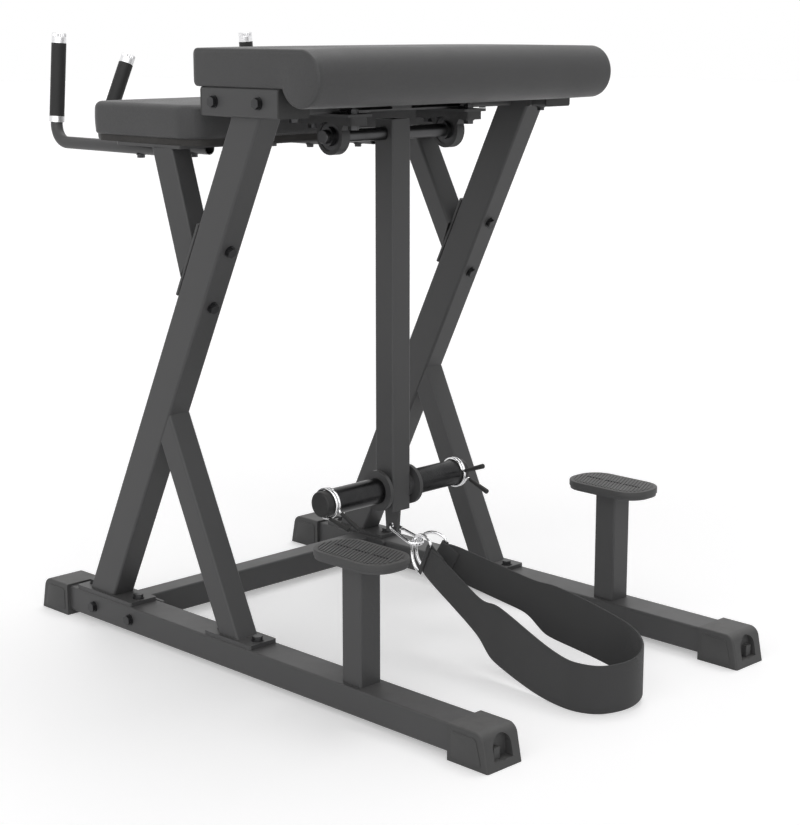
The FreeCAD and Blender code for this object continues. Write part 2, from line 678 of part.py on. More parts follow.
def bearing_housing():
    """A pillow block, upside down: a foot, two flared webs and an eye."""
    base = rounded_block(BEARING_BASE_LENGTH, BEARING_BASE_WIDTH, TUBE_CORNER, BEARING_BASE_HEIGHT)
    base.translate(V(HINGE_X, BEARING_Y, SEAT_BOTTOM - BEARING_BASE_HEIGHT))
    centre = V(HINGE_X, BEARING_Y, HINGE_Z)
    half = V(0, BEARING_EYE_WIDTH / 2, 0)
    eye = rod(centre - half, centre + half, BEARING_EYE_RADIUS)
    top = SEAT_BOTTOM - BEARING_BASE_HEIGHT / 2
    wide = BEARING_EYE_RADIUS + BEARING_BASE_HEIGHT / 2
    turn = math.radians(BEARING_NECK_ANGLE)
    narrow = BEARING_EYE_RADIUS * math.cos(turn)
    low = HINGE_Z + BEARING_EYE_RADIUS * math.sin(turn)
    y = BEARING_Y - BEARING_EYE_WIDTH / 2
    outline = [(HINGE_X - wide, y, top), (HINGE_X - narrow, y, low)]
    outline += [(HINGE_X + narrow, y, low), (HINGE_X + wide, y, top)]
    neck = prism(outline, BEARING_EYE_WIDTH, Y_AXIS)
    housing = base.fuse([neck, eye])
    housing = housing.cut(rod(centre - half * 3, centre + half * 3, BEARING_RADIUS))
    for seat in bearing_bolt_seats():
        housing = housing.cut(drill(seat, Z_AXIS, BEARING_GRIP, HEAVY_BOLT))
    return housing.removeSplitter()


def race_groove():
    return Part.makeTorus(BALL_PITCH_RADIUS, BALL_RADIUS + BALL_PLAY, V(HINGE_X, BEARING_Y, HINGE_Z), Y_AXIS)


def ring_about_hinge(width, outer, inner, offset=0.0):
    centre = V(HINGE_X, BEARING_Y + offset, HINGE_Z)
    half = V(0, width / 2, 0)
    return pipe(centre - half, centre + half, outer, inner)


def bearing_outer_ring():
    """The outer race and its two seals, pressed into the housing."""
    ring = ring_about_hinge(BEARING_RING_WIDTH, BEARING_RADIUS, BEARING_SHOULDER_RADIUS).cut(race_groove())
    offset = (BEARING_RING_WIDTH - SEAL_THICKNESS) / 2
    inner = BEARING_INNER_RADIUS + MOVING_GAP
    seals = []
    for place in (-offset, offset):
        seals.append(ring_about_hinge(SEAL_THICKNESS, BEARING_SHOULDER_RADIUS, inner, place))
    return ring.fuse(seals).removeSplitter()


def bearing_inner_ring():
    """The inner race, wider than the outer one, locked on the shaft."""
    ring = ring_about_hinge(BEARING_INNER_WIDTH, BEARING_INNER_RADIUS, SHAFT_RADIUS + RUNNING_FIT)
    return ring.cut(race_groove())


def bearing_ball_set():
    """The balls of one bearing and the cage that keeps them apart, one round pocket for each."""
    half = CAGE_THICKNESS / 2
    cage = ring_about_hinge(CAGE_WIDTH, BALL_PITCH_RADIUS + half, BALL_PITCH_RADIUS - half)
    centre = V(HINGE_X, BEARING_Y, HINGE_Z)
    balls = []
    for k in range(BALL_COUNT):
        angle = 2 * math.pi * k / BALL_COUNT
        outward = V(math.cos(angle), 0, math.sin(angle))
        balls.append(Part.makeSphere(BALL_RADIUS, centre + outward * BALL_PITCH_RADIUS))
        cage = cage.cut(rod(centre, centre + outward * BEARING_RADIUS, BALL_RADIUS + BALL_PLAY))
    return [cage] + balls


def make_top():
    keep_pair("side_tube", side_tube())
    keep("header_tube", header())
    keep_group("bearing_plates", both_sides([bearing_plate()]))
    keep_group("bearing_housings", both_sides([bearing_housing()]))
    keep_group("bearing_outer_rings", both_sides([bearing_outer_ring()]))
    keep_group("bearing_inner_rings", both_sides([bearing_inner_ring()]))
    keep_group("bearing_balls", both_sides(bearing_ball_set()))
    middle = FRAME_TOP - RAIL_HEIGHT / 2
    front = V(side_tube_rear() + SIDE_TUBE_LENGTH - PLUG_HEAD, RAIL_Y, middle)
    rear = V(side_tube_rear() + PLUG_HEAD, RAIL_Y, middle)
    plugs = []
    for place, outward in ((front, X_AXIS), (rear, X_AXIS * -1)):
        plugs.append(stand(tube_plug(RAIL_HEIGHT, RAIL_WIDTH), place, outward, Z_AXIS))
    keep_group("tube_plugs", both_sides(plugs))


# Chest pad

def chest_outline(inset, height):
    """The chest pad's plan: large corners towards the main pad, small ones behind."""
    rear = CHEST_REAR + inset
    front = CHEST_REAR + CHEST_DEPTH - inset
    side = CHEST_WIDTH / 2 - inset
    edges = []
    corners = ((front, side, CHEST_FRONT_CORNER), (rear, side, CHEST_REAR_CORNER))
    corners += ((rear, -side, CHEST_REAR_CORNER), (front, -side, CHEST_FRONT_CORNER))
    points = []
    for k, (x, y, radius) in enumerate(corners):
        before = V(*corners[k - 1][:2], 0)
        after = V(*corners[(k + 1) % 4][:2], 0)
        here = V(x, y, 0)
        bend = radius * (1 - 2 * inset / CHEST_DEPTH)
        start = here + (before - here).normalize() * bend
        end = here + (after - here).normalize() * bend
        points.append((start, here, end))
    lift = V(0, 0, height)
    for k, (start, here, end) in enumerate(points):
        edges.append(arc_through(start + lift, here + lift, end + lift))
        edges.append(line(end + lift, points[(k + 1) % 4][0] + lift))
    return Part.Wire(edges)


def chest_cushion():
    """A padded block: full at mid height, drawn in at the board, rounded and crowned on top."""
    bottom = CHEST_PLATE_TOP + CHEST_BOARD
    top = bottom + CHEST_CUSHION
    outlines = [chest_outline(inset, bottom + height) for inset, height in CHEST_LOWER_LEVELS]
    outlines += [chest_outline(inset, top - depth) for inset, depth in CHEST_UPPER_LEVELS]
    outlines.append(chest_outline(CHEST_DEPTH / 4, top + CHEST_CROWN))
    return Part.makeLoft(outlines, True, True)


def chest_plate():
    """The steel plate that the chest pad and the handles are bolted to, its rear corners cut off."""
    rear = CHEST_REAR + CHEST_PLATE_REAR_INSET
    front = rear + CHEST_PLATE_DEPTH
    side = CHEST_PLATE_WIDTH / 2
    shoulder = rear + CHEST_PLATE_CHAMFER_X
    waist = side - CHEST_PLATE_CHAMFER_Y
    z = CHEST_PLATE_BOTTOM
    outline = [(front, -side, z), (front, side, z), (shoulder, side, z)]
    outline += [(rear, waist, z), (rear, -waist, z), (shoulder, -side, z)]
    plate = prism(outline, CHEST_PLATE_THICKNESS, Z_AXIS)
    for seat in handle_bolt_seats():
        hole = drill(seat, Z_AXIS, 2 * HANDLE_TUBE_RADIUS + CHEST_PLATE_THICKNESS, LIGHT_BOLT)
        plate = plate.cut(hole).cut(mirrored(hole))
    for seat in chest_bolt_seats():
        hole = drill(seat, Z_AXIS, CHEST_PLATE_THICKNESS, LIGHT_BOLT)
        plate = plate.cut(hole).cut(mirrored(hole))
    return plate


def chest_bolt_seats():
    """Under the plate, where the chest board's bolts go up into it."""
    front = CHEST_REAR + CHEST_PLATE_REAR_INSET + CHEST_PLATE_DEPTH - CHEST_BOLT_INSET
    rear = CHEST_REAR + CHEST_PLATE_REAR_INSET + CHEST_BOLT_INSET
    return [V(x, CHEST_BOLT_SPREAD / 2, CHEST_PLATE_BOTTOM) for x in (front, rear)]


def screw(seat, direction, depth, size):
    """A hex screw without a nut, its washer on seat."""
    radius, flats, head = size
    washer_radius = flats / math.sqrt(3) + WASHER_MARGIN
    washer = Part.makeCylinder(washer_radius, WASHER_THICKNESS, V(0, 0, -WASHER_THICKNESS))
    top = stand(hexagon(flats, head), V(0, 0, -WASHER_THICKNESS), V(0, 0, -1), X_AXIS)
    shank = Part.makeCylinder(radius, depth, V(0, 0, 0))
    return stand(washer.fuse([top, shank]).removeSplitter(), seat, direction, V(*HEAD_TURN))


def make_chest():
    keep("chest_plate", chest_plate())
    bottom = CHEST_PLATE_TOP
    board = Part.Face(chest_outline(CHEST_BOARD_INSET, bottom)).extrude(V(0, 0, CHEST_BOARD))
    for seat in chest_bolt_seats():
        hole = drill(seat, Z_AXIS, CHEST_PLATE_THICKNESS + CHEST_BOARD - SCREW_MARGIN, LIGHT_BOLT)
        board = board.cut(hole).cut(mirrored(hole))
    keep("chest_board", board)
    keep("chest_cushion", chest_cushion())


# Main pad

def pad_bolt_seats():
    """Under the left side tube, where the main pad's bolts go up through it."""
    front = side_tube_rear() + SIDE_TUBE_LENGTH - PAD_BOLT_INSET
    rear = side_tube_rear() + PAD_BOLT_INSET
    return [V(x, RAIL_INNER + PAD_BOLT_INBOARD, SIDE_TUBE_BOTTOM) for x in (rear, front)]


def pad_section(inset, rise, y):
    """The main pad seen from the side: flat below, rounded behind, a full roll in front."""
    rear = BASE_X - PAD_REAR_AFT + inset
    bottom = FRAME_TOP + inset
    centre = V(BASE_X + PAD_ROLL_FORWARD, y, FRAME_TOP + PAD_THICKNESS - PAD_ROLL_RADIUS + rise)
    radius = PAD_ROLL_RADIUS - inset
    top = centre.z + radius
    drop = centre.z - bottom
    meet = V(centre.x - math.sqrt(radius * radius - drop * drop), y, bottom)
    edge = PAD_EDGE
    a = V(rear, y, bottom)
    b = V(rear, y, top - edge)
    c = V(rear + edge, y, top)
    crest = V(centre.x, y, top)
    nose = V(centre.x + radius, y, centre.z)
    slant = math.radians(45)
    upper = centre + V(math.sin(slant) * radius, 0, math.cos(slant) * radius)
    half = math.atan2(drop, centre.x - meet.x) / 2 + math.radians(45)
    lower = centre - V(math.sin(math.radians(90) - half) * radius, 0, math.sin(half) * radius)
    keel = centre - V(0, 0, radius)
    front_low = centre + V(math.sin(slant) * radius, 0, -math.cos(slant) * radius)
    edges = [line(meet, a), line(a, b), arc_through(b, V(rear, y, top), c), line(c, crest)]
    edges += [Part.Arc(crest, upper, nose).toShape(), Part.Arc(nose, front_low, keel).toShape()]
    edges += [Part.Arc(keel, lower, meet).toShape()]
    return Part.Wire(edges)


def main_board():
    rear = BASE_X - PAD_REAR_AFT + PAD_BOARD_INSET
    side = PAD_WIDTH / 2 - PAD_BOARD_INSET
    low = (rear, -side, FRAME_TOP)
    high = (BASE_X + PAD_ROLL_FORWARD - PAD_BOARD_INSET, side, FRAME_TOP + PAD_BOARD)
    return block(low, high)


def make_main_pad():
    """The cushion is full along its length, drawn in at its ends, and crowned in the middle."""
    side = PAD_WIDTH / 2
    stations = [(-side + distance, inset, 0.0) for distance, inset in PAD_ENDS]
    stations.append((-side / 2, 0.0, PAD_CROWN))
    stations += [(-y, inset, rise) for y, inset, rise in reversed(stations)]
    sections = [pad_section(inset, rise, y) for y, inset, rise in stations]
    cushion = Part.makeLoft(sections, True, True)
    board = main_board()
    keep("main_cushion", cushion.cut(board))
    for seat in pad_bolt_seats():
        hole = drill(seat, Z_AXIS, RAIL_HEIGHT + PAD_BOARD - SCREW_MARGIN, LIGHT_BOLT)
        board = board.cut(hole).cut(mirrored(hole))
    keep("main_board", board)


# Handles

def handle_route(spread, turn_x, bend, lean, grip):
    """A left handle's front end, bend (start, corner, end), grip (start, end) and grip direction."""
    up = V(0, -math.sin(math.radians(lean)), math.cos(math.radians(lean)))
    corner = V(turn_x, spread / 2, HANDLE_Z)
    front = V(BASE_X - HANDLE_FRONT_AFT, spread / 2, HANDLE_Z)
    grip_low = corner + up * (bend + GRIP_RING)
    return front, corner + V(bend, 0, 0), corner, corner + up * bend, grip_low, grip_low + up * grip, up


OUTER_ROUTE = (OUTER_HANDLE_SPREAD, OUTER_HANDLE_X, OUTER_HANDLE_BEND, OUTER_HANDLE_LEAN, OUTER_GRIP_LENGTH)
INNER_HANDLE_X = BASE_X - INNER_HANDLE_AFT
INNER_ROUTE = (INNER_HANDLE_SPREAD, INNER_HANDLE_X, INNER_HANDLE_BEND, INNER_HANDLE_LEAN, INNER_GRIP_LENGTH)


def handle_bolt_seats():
    """Under the left handles, where their bolts go up through the chest plate."""
    seats = []
    for spread in (OUTER_HANDLE_SPREAD, INNER_HANDLE_SPREAD):
        for aft in (HANDLE_BOLT_AFT, HANDLE_BOLT_AFT + HANDLE_BOLT_SPACING):
            seats.append(V(BASE_X - aft, spread / 2, HANDLE_Z - HANDLE_TUBE_RADIUS + HANDLE_FLAT))
    return seats


def handle_tube(route):
    """A bent tube from under the chest plate back and up into its grip."""
    front, bend_start, corner, bend_end, grip_low, grip_high, up = handle_route(*route)
    edges = [line(front, bend_start), arc_through(bend_start, corner, bend_end), line(bend_end, grip_high)]
    tube = sweep(edges, HANDLE_TUBE_RADIUS).cut(sweep(edges, HANDLE_TUBE_RADIUS - HANDLE_WALL))
    depth = 2 * HANDLE_TUBE_RADIUS + CHEST_PLATE_THICKNESS
    for seat in handle_bolt_seats():
        flat = rod(seat - V(0, 0, WASHER_THICKNESS), seat, LIGHT_BOLT[1])
        tube = tube.cut(drill(seat, Z_AXIS, depth, LIGHT_BOLT)).cut(flat)
    return tube


def grip_pieces(route):
    """The ring, the rubber sleeve and the metal cap of one handle."""
    front, bend_start, corner, bend_end, grip_low, grip_high, up = handle_route(*route)
    ring = pipe(bend_end, grip_low, GRIP_RING_RADIUS, HANDLE_TUBE_RADIUS)
    sleeve = pipe(grip_low, grip_high, GRIP_RADIUS, HANDLE_TUBE_RADIUS)
    cap = rod(grip_high, grip_high + up * GRIP_CAP, GRIP_CAP_RADIUS)
    closed = [edge for edge in cap.Edges if edge.Closed]
    rim = [edge for edge in closed if (edge.CenterOfMass - grip_high).Length > GRIP_CAP - 1]
    return ring, sleeve, cap.makeFillet(GRIP_CAP_ROUND, rim)


def make_handles():
    keep_pair("outer_handle", handle_tube(OUTER_ROUTE))
    keep_pair("inner_handle", handle_tube(INNER_ROUTE))
    outer = grip_pieces(OUTER_ROUTE)
    inner = grip_pieces(INNER_ROUTE)
    keep_group("grip_rings", both_sides([outer[0], inner[0]]))
    keep_group("handle_grips", both_sides([outer[1], inner[1]]))
    keep_group("grip_end_caps", both_sides([outer[2], inner[2]]))


# Foot plates

def step_bolt_seats():
    """Under the foot plate, fore and aft of its post."""
    height = STEP_HEIGHT - STEP_PAD - STEP_PLATE
    return [V(STEP_X + side * STEP_BOLT_SPACING / 2, RAIL_Y, height) for side in (-1, 1)]


def make_steps():
    underside = STEP_HEIGHT - STEP_PAD - STEP_PLATE
    post = square_tube(STEP_POST, STEP_POST, underside - RAIL_TOP, ARM_CORNER)
    post.translate(V(STEP_X, RAIL_Y, RAIL_TOP))
    keep_pair("step_post", post)
    inset = STEP_PLATE_INSET
    plate = rounded_block(STEP_LENGTH - 2 * inset, STEP_WIDTH - 2 * inset, STEP_CORNER - inset, STEP_PLATE)
    plate.translate(V(STEP_X, RAIL_Y, underside))
    pad = rounded_block(STEP_LENGTH, STEP_WIDTH, STEP_CORNER, STEP_PAD)
    top_edges = [edge for edge in pad.Edges if edge.BoundBox.ZMin > STEP_PAD / 2]
    pad = pad.makeFillet(STEP_PAD_ROUND, top_edges)
    pad.translate(V(STEP_X, RAIL_Y, underside + STEP_PLATE))
    for seat in step_bolt_seats():
        plate = plate.cut(drill(seat, Z_AXIS, STEP_PLATE, LIGHT_BOLT))
        pad = pad.cut(drill(seat, Z_AXIS, STEP_PLATE + STEP_PAD - 2 * SCREW_MARGIN, LIGHT_BOLT))
    for k in (-1, 0, 1):
        slit = rounded_block(STEP_SLIT_LENGTH, STEP_SLIT_WIDTH, STEP_SLIT_WIDTH / 2.01, STEP_SLIT_DEPTH + 1)
        offset = k * (STEP_SLIT_LENGTH + 2 * STEP_SLIT_WIDTH)
        slit.translate(V(STEP_X + offset, RAIL_Y, STEP_HEIGHT - STEP_SLIT_DEPTH))
        pad = pad.cut(slit)
    keep_group("step_plates", both_sides([plate]))
    keep_pair("step_pad", pad)


# Swing arm

def make_arm():
    centre = V(HINGE_X, 0, ARM_BOTTOM + ARM_END_PLATE)
    tube = square_tube(ARM_WIDTH, ARM_WIDTH, ARM_TOP - ARM_BOTTOM - ARM_END_PLATE, ARM_CORNER)
    tube.translate(centre)
    half = V(0, SHAFT_LENGTH / 2, 0)
    pivot = V(HINGE_X, 0, HINGE_Z)
    tube = tube.cut(rod(pivot - half, pivot + half, SHAFT_RADIUS + RUNNING_FIT))
    bottom = rounded_block(ARM_WIDTH, ARM_WIDTH, ARM_CORNER, ARM_END_PLATE)
    bottom.translate(V(HINGE_X, 0, ARM_BOTTOM))
    keep("swing_arm", tube.fuse(bottom).removeSplitter())
    shaft = rod(pivot - half, pivot + half, SHAFT_RADIUS)
    ends = [edge for edge in shaft.Edges if edge.Closed]
    keep("pivot_shaft", shaft.makeChamfer(SHAFT_CHAMFER, ends))
    y = -HANGER_THICKNESS / 2
    low = ARM_BOTTOM - HANGER_LENGTH
    outline = [(HINGE_X - HANGER_TOP_WIDTH / 2, y, ARM_BOTTOM), (HINGE_X - HANGER_BOTTOM_WIDTH / 2, y, low)]
    outline += [(HINGE_X + HANGER_BOTTOM_WIDTH / 2, y, low), (HINGE_X + HANGER_TOP_WIDTH / 2, y, ARM_BOTTOM)]
    hanger = prism(outline, HANGER_THICKNESS, Y_AXIS)
    eye = V(HINGE_X, 0, EYE_Z)
    side = V(0, HANGER_THICKNESS, 0)
    keep("arm_hanger", hanger.cut(rod(eye - side, eye + side, HANGER_EYE_RADIUS)))


def make_sleeves():
    """On each side of the arm a neck with a stop flange, a round sleeve and its plastic cap."""
    root = V(HINGE_X, ARM_WIDTH / 2, SLEEVE_Z)
    end = V(HINGE_X, SLEEVE_SPAN / 2 - SLEEVE_CAP_HEAD, SLEEVE_Z)
    bore = SLEEVE_RADIUS - SLEEVE_WALL
    stop = root + V(0, SLEEVE_FLANGE_STANDOFF, 0)
    seat = stop + V(0, SLEEVE_FLANGE_THICKNESS, 0)
    flange = pipe(stop, seat, SLEEVE_FLANGE_RADIUS, bore).fuse(pipe(root, stop, SLEEVE_NECK_RADIUS, bore))
    keep_group("sleeve_flanges", both_sides([flange]))
    keep_group("weight_sleeves", both_sides([pipe(seat, end, SLEEVE_RADIUS, bore)]))
    head = rod(end, end + V(0, SLEEVE_CAP_HEAD, 0), SLEEVE_RADIUS - SLEEVE_CAP_STEP)
    rim = [edge for edge in head.Edges if edge.Closed and edge.CenterOfMass.y > end.y + 1]
    head = head.makeFillet(SLEEVE_CAP_ROUND, rim)
    plug = pipe(end - V(0, SLEEVE_CAP_PLUG, 0), end, bore, bore - TUBE_WALL)
    keep_group("sleeve_end_caps", both_sides([head.fuse(plug)]))


# Spring collars

def biarc(start, start_direction, end, end_direction):
    """Two arcs that leave start and reach end along the given directions."""
    gap = end - start
    total = start_direction + end_direction
    a = 2 * (1 - start_direction.dot(end_direction))
    b = gap.dot(total)
    c = gap.dot(gap)
    reach = (-2 * b + math.sqrt(4 * b * b + 4 * a * c)) / (2 * a)
    first = start + start_direction * reach
    second = end - end_direction * reach
    join = (first + second) * 0.5
    return [arc_through(start, first, join), arc_through(join, second, end)]


def collar_pieces(upper, lower):
    """The wire of a left collar, wound round the sleeve, and the grips on its two bent-out ends."""
    radius = SLEEVE_RADIUS + MOVING_GAP + COLLAR_WIRE / 2
    first = upper[0]
    sweep_angle = 720.0 + lower[0] - upper[0]
    rise = COLLAR_PITCH / 360.0
    middle = V(HINGE_X, SLEEVE_SPAN / 2 - COLLAR_FROM_END, SLEEVE_Z)
    start_y = -rise * sweep_angle / 2

    def spot(turned):
        angle = math.radians(first + turned)
        return middle + V(math.cos(angle) * radius, start_y + rise * turned, math.sin(angle) * radius)

    def heading(turned):
        angle = math.radians(first + turned)
        climb = rise * 180.0 / math.pi
        return V(-math.sin(angle) * radius, climb, math.cos(angle) * radius).normalize()

    def prong(turned, leaving, points_at):
        """The bend out of the coil, the straight end after it, and the grip on that end."""
        outward = V(math.cos(math.radians(points_at)), 0, math.sin(math.radians(points_at)))
        leg = COLLAR_BEND * math.tan(leaving.getAngle(outward) / 2)
        corner = spot(turned) + leaving * leg
        bend = corner + outward * leg
        tip = bend + outward * COLLAR_PRONG
        root = tip - outward * COLLAR_GRIP
        grip = Part.makeCone(COLLAR_GRIP_ROOT, COLLAR_GRIP_TIP, COLLAR_GRIP + COLLAR_GRIP_END, root, outward)
        end = [edge for edge in grip.Edges if edge.Closed and (edge.CenterOfMass - root).Length > COLLAR_GRIP]
        grip = grip.makeFillet(COLLAR_GRIP_ROUND, end)
        return corner, bend, tip, grip.cut(rod(root - outward, tip, COLLAR_WIRE / 2))

    corner, bend, tip, upper_grip = prong(0, heading(0) * -1, upper[1])
    edges = [line(tip, bend), arc_through(bend, corner, spot(0))]
    steps = int(round(sweep_angle / 90.0))
    turns = [sweep_angle * k / steps for k in range(steps + 1)]
    for a, b in zip(turns, turns[1:]):
        edges += biarc(spot(a), heading(a), spot(b), heading(b))
    corner, bend, tip, lower_grip = prong(sweep_angle, heading(sweep_angle), lower[1])
    edges += [arc_through(spot(sweep_angle), corner, bend), line(bend, tip)]
    return sweep(edges, COLLAR_WIRE / 2), Part.makeCompound([upper_grip, lower_grip])


def make_collars():
    wire, grips = collar_pieces(*LEFT_COLLAR)
    keep("collar_spring_left", wire)
    keep("collar_grips_left", grips)
    wire, grips = collar_pieces(*RIGHT_COLLAR)
    keep("collar_spring_right", mirrored(wire))
    keep("collar_grips_right", mirrored(grips))


# Carabiner

def carabiner_point(along, across, off=0.0):
    """A point by the carabiner's plane, measured from the wire in the hanger's eye."""
    slope = math.radians(CARABINER_SLOPE)
    plane_normal = V(math.sin(slope), 0, math.cos(slope))
    return V(HINGE_X + along * math.cos(slope), across, HOOK_Z - along * math.sin(slope)) + plane_normal * off


def carabiner_corners():
    """Where the bows meet the straight sides: left small, left large, right small, right large."""
    far = CARABINER_SMALL_RADIUS + CARABINER_CENTRES
    flare = math.asin((CARABINER_LARGE_RADIUS - CARABINER_SMALL_RADIUS) / CARABINER_CENTRES)
    corners = []
    for side in (1, -1):
        bows = ((CARABINER_SMALL_RADIUS, CARABINER_SMALL_RADIUS), (far, CARABINER_LARGE_RADIUS))
        for centre, radius in bows:
            along = centre - radius * math.sin(flare)
            corners.append(carabiner_point(along, side * radius * math.cos(flare)))
    return corners


def gate_ends():
    """The gate's pivot, its free end and the direction from one to the other."""
    left_small, left_large = carabiner_corners()[:2]
    run = (left_large - left_small).normalize()
    pivot = left_small + run * (GATE_STUB + GATE_RADIUS + MOVING_GAP)
    return pivot, left_large - run * (GATE_NOSE_STUB + MOVING_GAP), run


def make_carabiner():
    """A pear-shaped snap hook: small bow in the hanger's eye, large one for the rings, gate on the left."""
    left_small, left_large, right_small, right_large = carabiner_corners()
    pivot, tip, run = gate_ends()
    far_end = carabiner_point(CARABINER_SMALL_RADIUS + CARABINER_CENTRES + CARABINER_LARGE_RADIUS, 0)
    gate_start = left_small + run * GATE_STUB
    edges = [line(tip + run * MOVING_GAP, left_large)]
    edges.append(Part.Arc(left_large, far_end, right_large).toShape())
    edges.append(line(right_large, right_small))
    edges.append(Part.Arc(right_small, carabiner_point(0, 0), left_small).toShape())
    edges.append(line(left_small, gate_start))
    normal = carabiner_point(0, 0, 1) - carabiner_point(0, 0)

    def disc(thickness, radius):
        return rod(pivot - normal * thickness / 2, pivot + normal * thickness / 2, radius)

    def cheek_room(thickness, reach, width):
        room = Part.makeBox(reach, width, thickness, V(-reach, -width / 2, -thickness / 2))
        return stand(room, pivot, normal, run)

    tang = cheek_room(TANG_THICKNESS, GATE_RADIUS + 2 * MOVING_GAP, 2 * GATE_RADIUS)
    tang = tang.fuse(disc(TANG_THICKNESS, GATE_RADIUS))
    body = sweep(edges, CARABINER_WIRE / 2).fuse(tang).cut(disc(CARABINER_WIRE, GATE_PIN_RADIUS + PIN_PLAY))
    keep("carabiner_body", body.removeSplitter())
    slot = TANG_THICKNESS + 2 * MOVING_GAP
    gate = rod(pivot, tip, GATE_RADIUS).fuse(Part.makeSphere(GATE_RADIUS, pivot))
    gate = gate.cut(disc(slot, GATE_RADIUS + MOVING_GAP))
    gate = gate.cut(cheek_room(slot, 2 * GATE_RADIUS, 4 * GATE_RADIUS))
    keep("carabiner_gate", gate.fuse(disc(slot + GATE_PIN_HEADS, GATE_PIN_RADIUS)))


# Rings and strap

def ring_pivot():
    """Midway between the two rings' bows, inside the carabiner's large bow."""
    room = CARABINER_LARGE_RADIUS - CARABINER_WIRE / 2 - RING_WIRE / 2 - RING_PLAY
    reach = math.sqrt(room ** 2 - RING_SIDE ** 2)
    return carabiner_point(CARABINER_SMALL_RADIUS + CARABINER_CENTRES + reach, 0)


def ring(side):
    """A D-shaped wire ring that slopes down from its bow in the carabiner to its bar in the strap's end."""
    half = RING_BAR / 2
    splay = math.radians(RING_SPLAY)
    pitch = math.radians(RING_PITCH)
    level = V(math.cos(splay), side * math.sin(splay), 0)
    heading = level * math.cos(pitch) - Z_AXIS * math.sin(pitch)
    upright_axis = level * math.sin(pitch) + Z_AXIS * math.cos(pitch)
    apex = ring_pivot() + V(0, side * RING_SIDE, 0)

    def at(along, height):
        return apex + heading * along + upright_axis * height

    bar = RING_NECK + half
    corner = RING_CORNER
    bow_in = half * (1 - math.sqrt(0.5))
    bow_out = half * math.sqrt(0.5)
    edges = [line(at(bar, 0), at(bar, half - corner))]
    edges.append(arc_through(at(bar, half - corner), at(bar, half), at(bar - corner, half)))
    edges.append(line(at(bar - corner, half), at(half, half)))
    edges.append(Part.Arc(at(half, half), at(bow_in, bow_out), at(0, 0)).toShape())
    edges.append(Part.Arc(at(0, 0), at(bow_in, -bow_out), at(half, -half)).toShape())
    edges.append(line(at(half, -half), at(bar - corner, -half)))
    edges.append(arc_through(at(bar - corner, -half), at(bar, -half), at(bar, corner - half)))
    edges.append(line(at(bar, corner - half), at(bar, 0)))
    return sweep(edges, RING_WIRE / 2), at(bar, 0), upright_axis


# Heights of the strap's two edges: share of a leg or of the cuff's turn, lower edge, upper edge
NEAR_LEG = ((0.20, 108.0, 177.0), (0.38, 74.0, 145.0), (0.43, 60.0, 139.0), (0.48, 38.0, 139.0))
NEAR_LEG += ((0.53, 29.0, 143.0), (0.70, 12.0, 122.0), (0.86, 0.5, 102.0))
CUFF = ((0.0, 0.0, 91.0), (0.25, 0.0, 88.0), (0.5, 6.0, 94.0), (0.75, 15.0, 106.0), (1.0, 28.0, 127.0))
FAR_LEG = ((0.14, 134.0, 202.0), (0.42, 108.0, 177.0), (0.50, 102.0, 170.0), (0.55, 86.0, 166.0))
FAR_LEG += ((0.60, 67.0, 165.0), (0.66, 60.0, 165.0), (0.86, 44.0, 145.0))
CUFF_STEPS = 12


def between(rows, share):
    """Edge heights at a share of the way, read between two rows."""
    for low, high in zip(rows, rows[1:]):
        if share <= high[0]:
            part = (share - low[0]) / (high[0] - low[0])
            return low[1] + (high[1] - low[1]) * part, low[2] + (high[2] - low[2]) * part
    return rows[-1][1], rows[-1][2]


def strap_stations():
    """Lower point, upper point and outward direction along the strap, from the right ring to the left."""
    cuff = V(HINGE_X + CUFF_CENTRE_REACH, CUFF_CENTRE_SIDE, 0)
    legs = []
    for side, rows in ((-1, NEAR_LEG), (1, FAR_LEG)):
        body, bar, bar_axis = ring(side)
        start = V(bar.x, bar.y, 0)
        reach = cuff - start
        angle = math.atan2(reach.y, reach.x) + side * math.asin(CUFF_RADIUS / reach.Length)
        heading = V(math.cos(angle), math.sin(angle), 0)
        outward = V(0, 0, 1).cross(heading) * side
        length = math.sqrt(reach.Length ** 2 - CUFF_RADIUS ** 2)
        stations = [(bar - bar_axis * STRAP_WIDTH / 2, bar + bar_axis * STRAP_WIDTH / 2, outward)]
        for share, low, high in rows:
            plan = start + heading * (length * share)
            stations.append((plan + V(0, 0, low), plan + V(0, 0, high), outward))
        legs.append((stations, angle + side * math.pi / 2))
    stations = legs[0][0]
    near_normal = legs[0][1]
    far_normal = legs[1][1]
    for k in range(CUFF_STEPS + 1):
        share = k / CUFF_STEPS
        turn = near_normal + (far_normal - near_normal) * share
        outward = V(math.cos(turn), math.sin(turn), 0)
        low, high = between(CUFF, share)
        plan = cuff + outward * CUFF_RADIUS
        stations.append((plan + V(0, 0, low), plan + V(0, 0, high), outward))
    return stations + legs[1][0][::-1]


def make_strap():
    """One flat band on edge: two narrow legs that widen into a cuff, folded round the two rings' bars."""
    sections = []
    for low, high, outward in strap_stations():
        half = outward * (STRAP_THICKNESS / 2)
        corners = [low - half, low + half, high + half, high - half]
        sections.append(Part.makePolygon(corners + corners[:1]))
    band = Part.makeLoft(sections, True, True)
    rings = []
    for side in (-1, 1):
        body, bar, bar_axis = ring(side)
        rings.append(body)
        reach = bar_axis * STRAP_WIDTH / 2
        band = band.fuse(rod(bar - reach, bar + reach, RING_WIRE / 2 + STRAP_THICKNESS))
        band = band.cut(rod(bar - reach * 1.1, bar + reach * 1.1, RING_WIRE / 2 + FOLD_PLAY))
    keep("strap_loop", band)
    keep_group("d_rings", rings)


# Fasteners

